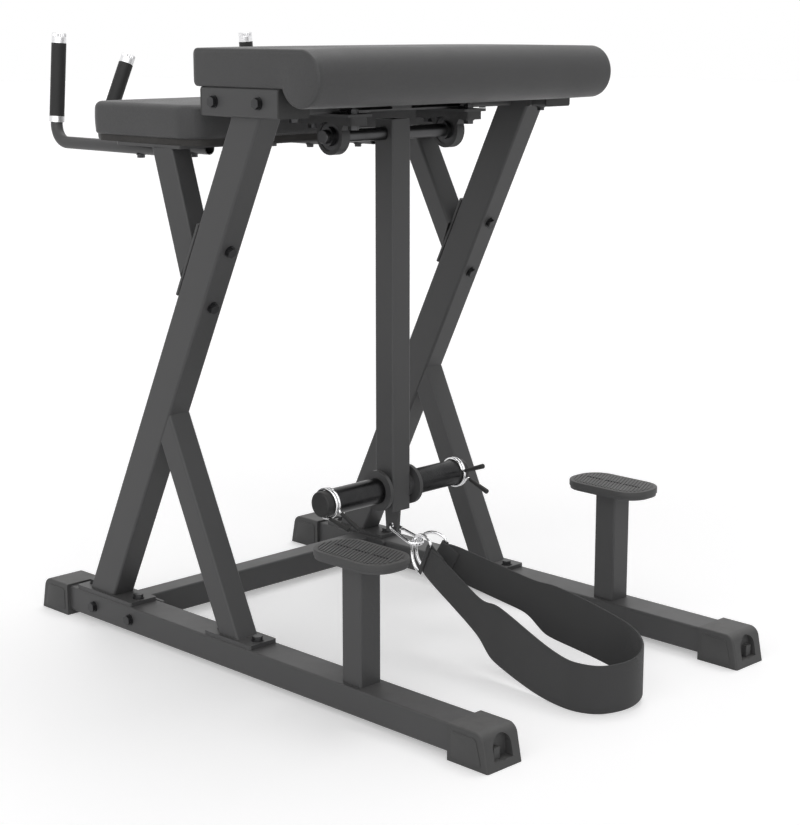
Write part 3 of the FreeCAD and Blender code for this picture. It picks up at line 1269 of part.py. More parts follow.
def make_bolts():
    base = [bolt(seat, V(0, 0, -1), BASE_GRIP, HEAVY_BOLT) for seat in base_bolt_seats()]
    keep_group("base_bolts", both_sides(base))
    across = cross_bolt_seats() + header_bolt_seats()
    through = [bolt(seat, V(0, -1, 0), CROSS_GRIP, HEAVY_BOLT) for seat in across]
    through += [bolt(seat, UPRIGHT_FORE * -1, UPPER_GRIP, HEAVY_BOLT) for seat in upper_bolt_seats()]
    keep_group("frame_bolts", both_sides(through))
    bearing = [bolt(seat, Z_AXIS, BEARING_GRIP, HEAVY_BOLT) for seat in bearing_bolt_seats()]
    keep_group("bearing_bolts", both_sides(bearing))
    handle_grip = 2 * HANDLE_TUBE_RADIUS - HANDLE_FLAT + CHEST_PLATE_THICKNESS
    screws = [screw(seat, Z_AXIS, handle_grip, LIGHT_BOLT) for seat in handle_bolt_seats()]
    keep_group("handle_bolts", both_sides(screws))
    chest_depth = CHEST_PLATE_THICKNESS + CHEST_BOARD - SCREW_MARGIN
    pads = [screw(seat, Z_AXIS, chest_depth, LIGHT_BOLT) for seat in chest_bolt_seats()]
    pad_depth = RAIL_HEIGHT + PAD_BOARD - SCREW_MARGIN
    pads += [screw(seat, Z_AXIS, pad_depth, LIGHT_BOLT) for seat in pad_bolt_seats()]
    keep_group("pad_bolts", both_sides(pads))
    step_depth = STEP_PLATE + STEP_PAD - 2 * SCREW_MARGIN
    steps = [screw(seat, Z_AXIS, step_depth, LIGHT_BOLT) for seat in step_bolt_seats()]
    keep_group("step_bolts", both_sides(steps))


def main():
    os.makedirs("parts", exist_ok=True)
    make_base()
    make_uprights()
    make_top()
    make_chest()
    make_main_pad()
    make_handles()
    make_steps()
    make_arm()
    make_sleeves()
    make_collars()
    make_carabiner()
    make_strap()
    make_bolts()
    for name, shape in PARTS.items():
        shape.exportStep("parts/" + name + ".step")
    print(len(PARTS), "nodes written")


main()
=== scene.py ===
import json
import math

import bmesh
import bpy
from mathutils import Matrix, Vector


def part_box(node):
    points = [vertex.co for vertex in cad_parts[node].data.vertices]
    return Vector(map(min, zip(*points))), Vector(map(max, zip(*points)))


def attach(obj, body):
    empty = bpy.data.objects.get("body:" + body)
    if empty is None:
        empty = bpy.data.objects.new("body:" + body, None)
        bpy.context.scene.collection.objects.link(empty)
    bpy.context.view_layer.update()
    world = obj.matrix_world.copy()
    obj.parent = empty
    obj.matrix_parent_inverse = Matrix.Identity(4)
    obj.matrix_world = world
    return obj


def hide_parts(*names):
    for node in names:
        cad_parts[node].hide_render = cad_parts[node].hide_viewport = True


# Reverse hyperextension machine. Metres, +X towards the foot plates, +Y to the left, +Z up.

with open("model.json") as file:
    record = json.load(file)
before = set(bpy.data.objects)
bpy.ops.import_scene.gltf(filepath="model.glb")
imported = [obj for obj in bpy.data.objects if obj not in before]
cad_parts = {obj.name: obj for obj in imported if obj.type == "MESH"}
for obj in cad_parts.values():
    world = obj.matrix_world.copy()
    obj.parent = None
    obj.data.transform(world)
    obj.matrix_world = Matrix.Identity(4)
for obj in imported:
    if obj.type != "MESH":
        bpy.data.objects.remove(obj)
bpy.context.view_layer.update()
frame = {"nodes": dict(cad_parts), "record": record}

SIDES = {"left": 1, "right": -1}

# How near two places count as the same: merged points, edges at one level, faces in one plane
SAME_POINT = 1e-6
SAME_LEVEL = 1e-5
SAME_PLANE = 1e-4

# Camera: as the photograph sees the machine, from in front and from its right
CAMERA_PLACE = (2.5058, -2.4268, 1.1745)
CAMERA_AZIMUTH = 45.0
CAMERA_DROP = 11.96
CAMERA_LENS = 80.18
CAMERA_SENSOR = 36.0

# Light
SKY_LEVEL = 0.22
KEY_LEVEL = 1.05
KEY_FROM = (-0.10, 0.30, 1.0)
KEY_SOFTNESS = 35.0
FILL_LEVEL = 1.6
FILL_FROM = (0.50, -0.70, 0.35)
FILL_SOFTNESS = 90.0
FLOOR_SIZE = 60.0
FLOOR_GLOW = 0.36
FLOOR_COLOUR = (0.86, 0.855, 0.86, 1.0)
FLOOR_DROP = 0.0002
WHITE = (1.0, 1.0, 1.0, 1.0)

# Main pad
ROLL_RADIUS = 0.0485
ROLL_SEGMENTS = 56
PAD_REAR_CORNER = 0.010
PAD_RIM = 0.004
PAD_STATIONS = 60
PAD_SLICES = 20
PAD_CROWN = 0.0025
PAD_BOARD = 0.015
PAD_BOARD_INSET = 0.010
PAD_PANEL_INSET = 0.0015
PAD_PANEL_BULGE = 0.0015
PAD_PANEL_STEPS = 3
PAD_SEAM_INSET = 0.0032
WELT_RADIUS = 0.0016

# Chest pad
CHEST_FRONT_CORNER = 0.051
CHEST_REAR_CORNER = 0.024
CHEST_TOP_ROUND = 0.012
CHEST_BOTTOM_ROUND = 0.005
CHEST_CROWN = 0.003
CHEST_DRAW_IN = 0.0015
CHEST_STATIONS = 48
CHEST_SLICES = 22
CHEST_LEVELS = 6

# Ankle strap: the ends of the left ring's bar, then rows of a share of a leg or of the cuff with the
# heights of the band's lower and upper edge there
STRAP_THICKNESS = 0.0035
BAR_LOW = (0.1493, 0.0133, 0.1480)
BAR_HIGH = (0.1804, 0.0205, 0.2081)
FOLD_RADIUS = 0.0048
FOLD_STEPS = 8
FOLD_START = 0.006
FOLD_TAIL = (0.010, 0.026, 0.040)
FOLD_PINCH = 0.8
CUFF_CENTRE = (0.5665, 0.008, 0.0)
CUFF_RADIUS = 0.080
CUFF_STEPS = 12
NEAR_LEG = ((0.20, 0.108, 0.177), (0.38, 0.074, 0.145), (0.43, 0.060, 0.139), (0.48, 0.038, 0.139))
NEAR_LEG += ((0.53, 0.029, 0.143), (0.70, 0.012, 0.122), (0.86, 0.0005, 0.102))
CUFF_ROWS = ((0.0, 0.0, 0.091), (0.25, 0.0, 0.088), (0.5, 0.006, 0.094))
CUFF_ROWS += ((0.75, 0.015, 0.106), (1.0, 0.028, 0.127))
FAR_LEG = ((0.14, 0.134, 0.202), (0.42, 0.108, 0.177), (0.50, 0.102, 0.170), (0.55, 0.086, 0.166))
FAR_LEG += ((0.60, 0.067, 0.165), (0.66, 0.060, 0.165), (0.86, 0.044, 0.145))

# Foot plates
STEP_CORNER = 0.046
STEP_CORNER_SEGMENTS = 14
STEP_RIM = 0.0018
RIB_PITCH = 0.0068
RIB_HEIGHT = 0.0012
RIB_TURN = 25.0
RIB_BORDER = 0.006
SLIT_LENGTH = 0.038
SLIT_SPACING = 0.046
SLIT_WIDTH = 0.005
SLIT_DEPTH = 0.003

# Handle caps: spread, lean, corner and height of the cap's foot for the outer and the inner handle, and
# the cap's turned outline as heights with radii
HANDLE_LEVEL = 0.940
HANDLES = ((0.522, 4.5, -0.646, 0.196), (0.356, 24.5, -0.6095, 0.168))
CAP_RADIUS = 0.0145
CAP_FLUTES = 20
CAP_FLUTE_DEPTH = 0.0012
CAP_STEPS = ((0.0, 0.0145), (0.011, 0.0145), (0.012, 0.0138))
CAP_STEPS += ((0.013, 0.0145), (0.0185, 0.0145), (0.020, 0.0128))
CAP_FLUTED = (0.013, 0.0185)

# Rubber shoes: the side panel's corners as shares of the shoe's length and height
PANEL_RISE = 0.0012
PANEL_CORNER = 0.006
PANEL_OUTLINE = ((0.10, 0.12), (0.84, 0.12), (0.70, 0.84), (0.10, 0.84))


# Helpers

def finished(name, mesh, material, body, smooth_angle=35.0):
    """Makes an object of a finished mesh, which rides on a body."""
    piece = bpy.data.objects.new(name, mesh)
    bpy.context.scene.collection.objects.link(piece)
    for polygon in mesh.polygons:
        polygon.use_smooth = True
    mesh.set_sharp_from_angle(angle=math.radians(smooth_angle))
    mesh.materials.append(material)
    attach(piece, body)
    return piece


def to_mesh(name, shape):
    """Ends a bmesh: closes doubles, turns the faces outwards and hands over the mesh."""
    bmesh.ops.remove_doubles(shape, verts=shape.verts, dist=SAME_POINT)
    bmesh.ops.recalc_face_normals(shape, faces=shape.faces)
    mesh = bpy.data.meshes.new(name)
    shape.to_mesh(mesh)
    shape.free()
    return mesh


def new_verts(grown):
    """The vertices among what an operator made."""
    return [item for item in grown["geom"] if isinstance(item, bmesh.types.BMVert)]


def block(low, high):
    """A bmesh box between two corners."""
    shape = bmesh.new()
    bmesh.ops.create_cube(shape, size=1.0)
    bmesh.ops.scale(shape, verts=shape.verts, vec=high - low)
    bmesh.ops.translate(shape, verts=shape.verts, vec=(low + high) / 2)
    return shape


def edges_at(shape, height):
    """The edges that lie at one height."""
    return [
        edge for edge in shape.edges
        if all(abs(vertex.co.z - height) < SAME_LEVEL for vertex in edge.verts)
    ]


def round_edges(shape, edges, width, segments=3):
    """Bevels edges to an arc."""
    bmesh.ops.bevel(
        shape, geom=edges, offset=width, offset_type="OFFSET", affect="EDGES",
        segments=segments, profile=0.5, material=-1, clamp_overlap=True,
    )


def slice_along(shape, normal, start, stop, count):
    """Cuts a shape by evenly spaced planes, so that it can bend or swell."""
    axis = Vector(normal)
    for step in range(1, count):
        distance = start + (stop - start) * step / count
        geometry = shape.verts[:] + shape.edges[:] + shape.faces[:]
        bmesh.ops.bisect_plane(shape, geom=geometry, plane_co=axis * distance, plane_no=axis)


def bead(name, points, radius, closed, material, body):
    """A thin round cord along points, such as the welt of a seam."""
    curve = bpy.data.curves.new(name, "CURVE")
    curve.dimensions = "3D"
    curve.bevel_depth = radius
    curve.bevel_resolution = 2
    curve.use_fill_caps = not closed
    spline = curve.splines.new("POLY")
    spline.points.add(len(points) - 1)
    for spot, point in zip(spline.points, points):
        spot.co = (*point, 1.0)
    spline.use_cyclic_u = closed
    draft = bpy.data.objects.new(name + "_draft", curve)
    mesh = bpy.data.meshes.new_from_object(draft)
    bpy.data.objects.remove(draft)
    return finished(name, mesh, material, body, 60.0)


# Shader groups, each used by several materials

def shader_group(name, inputs, outputs):
    """An empty node group with named inputs and outputs."""
    tree = bpy.data.node_groups.new(name, "ShaderNodeTree")
    for label, kind, value in inputs:
        socket = tree.interface.new_socket(label, in_out="INPUT", socket_type=kind)
        socket.default_value = value
    for label, kind in outputs:
        tree.interface.new_socket(label, in_out="OUTPUT", socket_type=kind)
    return tree, tree.nodes.new("NodeGroupInput"), tree.nodes.new("NodeGroupOutput")


def add_node(tree, kind, operation=None, **values):
    """A node with its operation and named input values."""
    node = tree.nodes.new("ShaderNode" + kind)
    if operation:
        node.operation = operation
    for label, value in values.items():
        node.inputs[label.replace("_", " ")].default_value = value
    return node


def make_grain():
    """Fine and broad noise over a surface: a height for bump and an even mottle."""
    tree, entry, leave = shader_group(
        "surface_grain",
        [("Fineness", "NodeSocketFloat", 900.0), ("Patches", "NodeSocketFloat", 14.0)],
        [("Height", "NodeSocketFloat"), ("Mottle", "NodeSocketFloat")],
    )
    places = tree.nodes.new("ShaderNodeTexCoord")
    fine = add_node(tree, "TexNoise", Detail=3.0, Roughness=0.6)
    broad = add_node(tree, "TexNoise", Detail=5.0, Roughness=0.62)
    tree.links.new(places.outputs["Object"], fine.inputs["Vector"])
    tree.links.new(places.outputs["Object"], broad.inputs["Vector"])
    tree.links.new(entry.outputs["Fineness"], fine.inputs["Scale"])
    tree.links.new(entry.outputs["Patches"], broad.inputs["Scale"])
    tree.links.new(fine.outputs["Fac"], leave.inputs["Height"])
    tree.links.new(broad.outputs["Fac"], leave.inputs["Mottle"])
    return tree


def make_dust():
    """Where dust settles: faces that look up, broken up by noise."""
    tree, entry, leave = shader_group(
        "settled_dust", [("Amount", "NodeSocketFloat", 0.2)], [("Mask", "NodeSocketFloat")]
    )
    places = tree.nodes.new("ShaderNodeTexCoord")
    facing = tree.nodes.new("ShaderNodeNewGeometry")
    split = tree.nodes.new("ShaderNodeSeparateXYZ")
    upward = add_node(tree, "MapRange")
    upward.inputs["From Min"].default_value = 0.5
    upward.inputs["From Max"].default_value = 1.0
    cloud = add_node(tree, "TexNoise", Scale=38.0, Detail=8.0, Roughness=0.7)
    both = add_node(tree, "Math", "MULTIPLY")
    amount = add_node(tree, "Math", "MULTIPLY")
    tree.links.new(facing.outputs["Normal"], split.inputs["Vector"])
    tree.links.new(split.outputs["Z"], upward.inputs["Value"])
    tree.links.new(places.outputs["Object"], cloud.inputs["Vector"])
    tree.links.new(upward.outputs["Result"], both.inputs[0])
    tree.links.new(cloud.outputs["Fac"], both.inputs[1])
    tree.links.new(both.outputs["Value"], amount.inputs[0])
    tree.links.new(entry.outputs["Amount"], amount.inputs[1])
    tree.links.new(amount.outputs["Value"], leave.inputs["Mask"])
    return tree


def make_scratches():
    """Thin rubbed lines in one direction, set by the stretch of the noise."""
    tree, entry, leave = shader_group(
        "rubbed_lines", [("Stretch", "NodeSocketVector", (1.0, 1.0, 1.0))], [("Lines", "NodeSocketFloat")]
    )
    places = tree.nodes.new("ShaderNodeTexCoord")
    drawn = add_node(tree, "VectorMath", "MULTIPLY")
    lines = add_node(tree, "TexNoise", Scale=260.0, Detail=4.0, Roughness=0.7)
    tree.links.new(places.outputs["Object"], drawn.inputs[0])
    tree.links.new(entry.outputs["Stretch"], drawn.inputs[1])
    tree.links.new(drawn.outputs["Vector"], lines.inputs["Vector"])
    tree.links.new(lines.outputs["Fac"], leave.inputs["Lines"])
    return tree


def make_leather():
    """The cells of embossed vinyl: a height, and a mask of the creases between the cells, which the vinyl
    uses for painted shade.
    """
    tree, entry, leave = shader_group(
        "vinyl_grain", [("Cells", "NodeSocketFloat", 620.0)],
        [("Height", "NodeSocketFloat"), ("CreaseShade", "NodeSocketFloat")],
    )
    places = tree.nodes.new("ShaderNodeTexCoord")
    cells = tree.nodes.new("ShaderNodeTexVoronoi")
    cells.feature = "DISTANCE_TO_EDGE"
    width = add_node(tree, "MapRange")
    width.inputs["From Max"].default_value = 0.18
    turned = add_node(tree, "Math", "SUBTRACT")
    turned.inputs[0].default_value = 1.0
    tree.links.new(places.outputs["Object"], cells.inputs["Vector"])
    tree.links.new(entry.outputs["Cells"], cells.inputs["Scale"])
    tree.links.new(cells.outputs["Distance"], width.inputs["Value"])
    tree.links.new(width.outputs["Result"], leave.inputs["Height"])
    tree.links.new(width.outputs["Result"], turned.inputs[1])
    tree.links.new(turned.outputs["Value"], leave.inputs["CreaseShade"])
    return tree


def make_weave():
    """Crossing yarns that follow a strap's own UV map: a height, and the same mask as a painted shade,
    lighter on the yarns' crests and darker in the hollows between them.
    """
    tree, entry, leave = shader_group(
        "woven_yarn", [("Yarns", "NodeSocketFloat", 420.0)],
        [("Height", "NodeSocketFloat"), ("Shade", "NodeSocketFloat")],
    )
    places = tree.nodes.new("ShaderNodeTexCoord")
    across = tree.nodes.new("ShaderNodeTexWave")
    along = tree.nodes.new("ShaderNodeTexWave")
    along.bands_direction = "Y"
    for wave in (across, along):
        tree.links.new(places.outputs["UV"], wave.inputs["Vector"])
        tree.links.new(entry.outputs["Yarns"], wave.inputs["Scale"])
    crossed = add_node(tree, "Math", "MAXIMUM")
    tree.links.new(across.outputs["Fac"], crossed.inputs[0])
    tree.links.new(along.outputs["Fac"], crossed.inputs[1])
    tree.links.new(crossed.outputs["Value"], leave.inputs["Height"])
    tree.links.new(crossed.outputs["Value"], leave.inputs["Shade"])
    return tree


GRAIN = make_grain()
DUST = make_dust()
SCRATCHES = make_scratches()
LEATHER = make_leather()
WEAVE = make_weave()
DUST_COLOUR = (0.30, 0.29, 0.28, 1.0)


# Materials

class Finish:
    """One material: its colour, roughness and bump are built up from the shader groups."""

    def __init__(self, name, colour, roughness, metallic=0.0, **shader_values):
        self.material = bpy.data.materials.new(name)
        self.material.use_nodes = True
        self.tree = self.material.node_tree
        self.shader = self.tree.nodes["Principled BSDF"]
        self.colour = self.rgb(colour)
        self.shader.inputs["Base Color"].default_value = self.rgb(colour)
        self.shader.inputs["Roughness"].default_value = roughness
        self.shader.inputs["Metallic"].default_value = metallic
        for label, value in shader_values.items():
            self.shader.inputs[label.replace("_", " ")].default_value = value
        self.colour_from = None
        self.bump_from = None

    @staticmethod
    def rgb(colour):
        return (*colour, 1.0) if len(colour) == 3 else colour

    def group(self, tree, **values):
        node = self.tree.nodes.new("ShaderNodeGroup")
        node.node_tree = tree
        for label, value in values.items():
            node.inputs[label].default_value = value
        return node

    def tint(self, mask, colour, low=0.0, high=1.0, strength=1.0):
        """Mixes a colour in where a mask lies between low and high."""
        window = add_node(self.tree, "MapRange")
        window.inputs["From Min"].default_value = low
        window.inputs["From Max"].default_value = high
        window.inputs["To Max"].default_value = strength
        self.tree.links.new(mask, window.inputs["Value"])
        mix = self.tree.nodes.new("ShaderNodeMix")
        mix.data_type = "RGBA"
        sockets = [socket for socket in mix.inputs if socket.type == "RGBA"]
        sockets[0].default_value = self.colour
        sockets[1].default_value = self.rgb(colour)
        if self.colour_from:
            self.tree.links.new(self.colour_from, sockets[0])
        self.tree.links.new(window.outputs["Result"], mix.inputs["Factor"])
        self.colour_from = [socket for socket in mix.outputs if socket.type == "RGBA"][0]
        self.tree.links.new(self.colour_from, self.shader.inputs["Base Color"])
        return self

    def gloss(self, mask, low, high):
        """Lets roughness run from low to high with a mask."""
        window = add_node(self.tree, "MapRange")
        window.inputs["From Min"].default_value = 0.3
        window.inputs["From Max"].default_value = 0.7
        window.inputs["To Min"].default_value = low
        window.inputs["To Max"].default_value = high
        self.tree.links.new(mask, window.inputs["Value"])
        self.tree.links.new(window.outputs["Result"], self.shader.inputs["Roughness"])
        return self

    def relief(self, height, depth, strength=1.0):
        """Adds a bump, on top of the last one."""
        bump = add_node(self.tree, "Bump", Strength=strength, Distance=depth)
        self.tree.links.new(height, bump.inputs["Height"])
        if self.bump_from:
            self.tree.links.new(self.bump_from, bump.inputs["Normal"])
        self.bump_from = bump.outputs["Normal"]
        self.tree.links.new(self.bump_from, self.shader.inputs["Normal"])
        return self


def powder_coat(name, colour, light, roughness):
    """Baked paint with a slight orange peel."""
    coat = Finish(name, colour, roughness, Specular_IOR_Level=0.35)
    grain = coat.group(GRAIN, Fineness=520.0, Patches=9.0)
    dust = coat.group(DUST, Amount=0.30)
    coat.tint(grain.outputs["Mottle"], light, 0.3, 0.75, 0.55)
    coat.tint(dust.outputs["Mask"], DUST_COLOUR, 0.0, 1.0, 0.5)
    coat.gloss(grain.outputs["Mottle"], roughness - 0.05, roughness + 0.07)
    coat.relief(grain.outputs["Height"], 0.00006)
    return coat.material


def rubber(name, colour, light, roughness, fineness=700.0):
    """Moulded rubber, dull, with a fine eroded skin."""
    skin = Finish(name, colour, roughness, Specular_IOR_Level=0.3)
    grain = skin.group(GRAIN, Fineness=fineness, Patches=22.0)
    dust = skin.group(DUST, Amount=0.5)
    skin.tint(grain.outputs["Mottle"], light, 0.3, 0.75, 0.6)
    skin.tint(dust.outputs["Mask"], DUST_COLOUR, 0.0, 1.0, 0.5)
    skin.gloss(grain.outputs["Mottle"], roughness - 0.06, roughness + 0.08)
    skin.relief(grain.outputs["Height"], 0.00012)
    return skin.material


def vinyl():
    """Upholstery vinyl with an embossed leather grain, whose creases are darkened with painted shade."""
    skin = Finish("pad_vinyl", (0.042, 0.042, 0.043), 0.42, Specular_IOR_Level=0.45, Sheen_Weight=0.05)
    leather = skin.group(LEATHER, Cells=520.0)
    grain = skin.group(GRAIN, Fineness=180.0, Patches=6.0)
    dust = skin.group(DUST, Amount=0.25)
    skin.tint(grain.outputs["Mottle"], (0.054, 0.054, 0.055), 0.3, 0.75, 0.6)
    # painted shade: the creases between the grain's cells are darkened in the colour
    skin.tint(leather.outputs["CreaseShade"], (0.018, 0.018, 0.018), 0.2, 1.0, 0.5)
    skin.tint(dust.outputs["Mask"], DUST_COLOUR, 0.0, 1.0, 0.4)
    skin.gloss(grain.outputs["Mottle"], 0.42, 0.54)
    skin.relief(leather.outputs["Height"], 0.00010)
    skin.relief(grain.outputs["Height"], 0.00015)
    return skin.material


def metal(name, colour, shade, roughness, stretch, depth=0.00003):
    """Bare or plated metal with rubbed lines."""
    skin = Finish(name, colour, roughness, 1.0)
    grain = skin.group(GRAIN, Fineness=300.0, Patches=30.0)
    lines = skin.group(SCRATCHES, Stretch=stretch)
    skin.tint(grain.outputs["Mottle"], shade, 0.4, 0.75, 0.5)
    skin.gloss(lines.outputs["Lines"], roughness - 0.05, roughness + 0.08)
    skin.relief(lines.outputs["Lines"], depth)
    return skin.material


def cast_iron():
    """A sand-cast housing, painted black."""
    skin = Finish("housing_iron", (0.040, 0.040, 0.041), 0.55, Specular_IOR_Level=0.4)
    rough = skin.group(GRAIN, Fineness=330.0, Patches=40.0)
    dust = skin.group(DUST, Amount=0.4)
    skin.tint(rough.outputs["Mottle"], (0.060, 0.060, 0.060), 0.3, 0.7, 0.7)
    skin.tint(dust.outputs["Mask"], DUST_COLOUR, 0.0, 1.0, 0.4)
    skin.gloss(rough.outputs["Mottle"], 0.45, 0.65)
    skin.relief(rough.outputs["Height"], 0.0004)
    return skin.material


def stained_ply():
    """Plywood stained black: long grain on its faces and its layers along the edges."""
    skin = Finish("board_wood", (0.020, 0.019, 0.018), 0.7)
    grain = skin.group(GRAIN, Fineness=240.0, Patches=18.0)
    figure = skin.group(SCRATCHES, Stretch=(0.9, 0.04, 1.6))
    skin.tint(figure.outputs["Lines"], (0.034, 0.030, 0.027), 0.35, 0.75, 0.8)
    skin.gloss(grain.outputs["Mottle"], 0.6, 0.8)
    skin.relief(figure.outputs["Lines"], 0.0002)
    return skin.material


def webbing():
    """Nylon webbing, woven across and along the strap's UV map, with painted shade between the yarns."""
    skin = Finish("strap_webbing", (0.054, 0.054, 0.055), 0.74, Specular_IOR_Level=0.2, Sheen_Weight=0.15)
    weave = skin.group(WEAVE, Yarns=380.0)
    grain = skin.group(GRAIN, Fineness=1500.0, Patches=16.0)
    # painted shade: the crests of the yarns are lighter and the hollows between them darker
    skin.tint(weave.outputs["Shade"], (0.066, 0.066, 0.067), 0.2, 1.0, 0.7)
    skin.tint(grain.outputs["Mottle"], (0.078, 0.078, 0.078), 0.45, 0.8, 0.4)
    skin.gloss(grain.outputs["Mottle"], 0.7, 0.88)
    skin.relief(weave.outputs["Height"], 0.0002)
    return skin.material


MATERIALS = {
    "frame_paint": powder_coat("frame_paint", (0.062, 0.062, 0.063), (0.075, 0.075, 0.076), 0.44),
    "foot_rubber": rubber("foot_rubber", (0.062, 0.062, 0.062), (0.080, 0.080, 0.080), 0.50),
    "pad_vinyl": vinyl(),
    "board_wood": stained_ply(),
    "housing_iron": cast_iron(),
    "bright_steel": metal(
        "bright_steel", (0.085, 0.085, 0.087), (0.060, 0.060, 0.061), 0.36, (1.0, 6.0, 1.0),
    ),
    "sleeve_metal": metal(
        "sleeve_metal", (0.035, 0.035, 0.036), (0.055, 0.055, 0.056), 0.30, (1.0, 5.0, 1.0),
    ),
    "plated_wire": metal(
        "plated_wire", (0.82, 0.82, 0.83), (0.68, 0.68, 0.69), 0.14, (1.0, 1.0, 1.0), 0.00001,
    ),
    "grip_aluminium": metal("grip_aluminium", (0.80, 0.80, 0.81), (0.70, 0.70, 0.71), 0.32, (1.0, 1.0, 5.0)),
    "grip_rubber": rubber("grip_rubber", (0.022, 0.022, 0.022), (0.032, 0.032, 0.032), 0.55, 900.0),
    "plug_plastic": rubber("plug_plastic", (0.030, 0.030, 0.030), (0.042, 0.042, 0.042), 0.42, 1100.0),
    "strap_webbing": webbing(),
    "bolt_steel": metal("bolt_steel", (0.060, 0.060, 0.062), (0.10, 0.10, 0.10), 0.38, (1.0, 1.0, 1.0)),
}


def dress_cad_nodes():
    """Gives each CAD node the material of its slot."""
    for subpart in frame["record"]["subparts"]:
        piece = frame["nodes"][subpart["node"]]
        material = MATERIALS[subpart["material_slot"]]
        if not piece.material_slots:
            piece.data.materials.append(material)
        for slot in piece.material_slots:
            slot.material = material


# Cushions

def pad_body():
    """The main pad as a closed shape: its outline with a full roll in front, extruded across the machine."""
    low, high = (Vector(corner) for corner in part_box("main_cushion"))
    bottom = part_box("main_board")[0][2]
    side = high.y
    centre = Vector((high.x - ROLL_RADIUS, -side, low.z + ROLL_RADIUS))
    turn = 1.5 * math.pi + math.asin((bottom - centre.z) / ROLL_RADIUS)
    shape = bmesh.new()
    crest = shape.verts.new(centre + Vector((0, 0, ROLL_RADIUS)))
    spun = bmesh.ops.spin(
        shape, geom=[crest], cent=centre, axis=(0, 1, 0), angle=turn, steps=ROLL_SEGMENTS,
        use_merge=False, use_duplicate=False,
    )
    last = [item for item in spun["geom_last"] if isinstance(item, bmesh.types.BMVert)][0]
    heel = shape.verts.new((low.x, -side, last.co.z))
    shoulder = shape.verts.new((low.x, -side, centre.z + ROLL_RADIUS))
    for ends in ((last, heel), (heel, shoulder), (shoulder, crest)):
        shape.edges.new(ends)
    filled = bmesh.ops.contextual_create(shape, geom=shape.edges[:])
    grown = bmesh.ops.extrude_face_region(shape, geom=filled["faces"])
    bmesh.ops.translate(shape, verts=new_verts(grown), vec=(0, 2 * side, 0))
    bmesh.ops.recalc_face_normals(shape, faces=shape.faces)
    return shape, low, high, centre, bottom


def main_cushion():
    """The main pad: rounded behind, crowned on top and round the roll, hollowed below for its board."""
    shape, low, high, centre, bottom = pad_body()
    side = high.y
    crosswise = [
        edge for edge in shape.edges
        if edge.calc_length() > side and edge.verts[0].co.x < low.x + SAME_PLANE
    ]
    round_edges(shape, crosswise, PAD_REAR_CORNER, 5)
    rims = [
        edge for edge in shape.edges
        if abs(edge.verts[0].co.y - edge.verts[1].co.y) < SAME_POINT and len(edge.link_faces) == 2
    ]
    round_edges(shape, rims, PAD_RIM, 3)
    slice_along(shape, (0, 1, 0), -side, side, PAD_STATIONS)
    slice_along(shape, (1, 0, 0), low.x, centre.x, PAD_SLICES)
    top = centre.z + ROLL_RADIUS
    for vertex in shape.verts:
        across = 1 - min(abs(vertex.co.y) / side, 1) ** 4
        outward = vertex.co - Vector((max(centre.x, vertex.co.x), vertex.co.y, centre.z))
        if vertex.co.x > centre.x and outward.length > 0:
            vertex.co += outward.normalized() * PAD_CROWN * across * 0.5
        along = min(max((vertex.co.x - low.x) / (centre.x - low.x), 0), 1)
        if vertex.co.z > centre.z:
            share = (vertex.co.z - centre.z) / (top - centre.z)
            vertex.co.z += PAD_CROWN * across * share * 0.5 * (1 + math.sin(math.pi * along))
    panels = [face for face in shape.faces if abs(abs(face.calc_center_median().y) - side) < SAME_PLANE]
    under = [
        face for face in shape.faces
        if face.normal.z < -0.99 and abs(face.calc_center_median().z - bottom) < SAME_PLANE
    ]
    bmesh.ops.inset_region(
        shape, faces=under, thickness=PAD_BOARD_INSET, depth=-PAD_BOARD, use_even_offset=True,
    )
    rise = PAD_PANEL_BULGE / PAD_PANEL_STEPS
    for step in range(PAD_PANEL_STEPS):
        bmesh.ops.inset_region(shape, faces=panels, thickness=PAD_PANEL_INSET, depth=rise)
    mesh = to_mesh("main_pad", shape)
    piece = finished("main_pad", mesh, MATERIALS["pad_vinyl"], "frame", 40.0)
    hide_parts("main_cushion")


def rim_points(y, inset):
    """The rim of the main pad's end, a little inside its outline."""
    low, high = (Vector(corner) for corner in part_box("main_cushion"))
    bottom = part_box("main_board")[0][2]
    centre = Vector((high.x - ROLL_RADIUS, y, low.z + ROLL_RADIUS))
    radius = ROLL_RADIUS - inset
    start = math.pi + math.asin((centre.z - bottom - inset) / radius)
    points = []
    for step in range(ROLL_SEGMENTS + 1):
        angle = start + (2.5 * math.pi - start) * step / ROLL_SEGMENTS
        points.append(centre + Vector((math.cos(angle), 0, math.sin(angle))) * radius)
    corner = PAD_REAR_CORNER
    for x, z, first in ((low.x + inset, centre.z + radius, 90), (low.x + inset, bottom + inset, 180)):
        middle = Vector((x + corner, y, z - corner if first == 90 else z + corner))
        for step in range(6):
            angle = math.radians(first + 90 * step / 5)
            points.append(middle + Vector((math.cos(angle), 0, math.sin(angle))) * corner)
    return points


def pad_welts():
    """The piping sewn round both ends of the main pad."""
    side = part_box("main_cushion")[1][1]
    for label, sign in SIDES.items():
        points = rim_points(sign * (side - WELT_RADIUS), PAD_SEAM_INSET)
        name = "main_pad_welt_" + label
        bead(name, points, WELT_RADIUS, True, MATERIALS["pad_vinyl"], "frame")


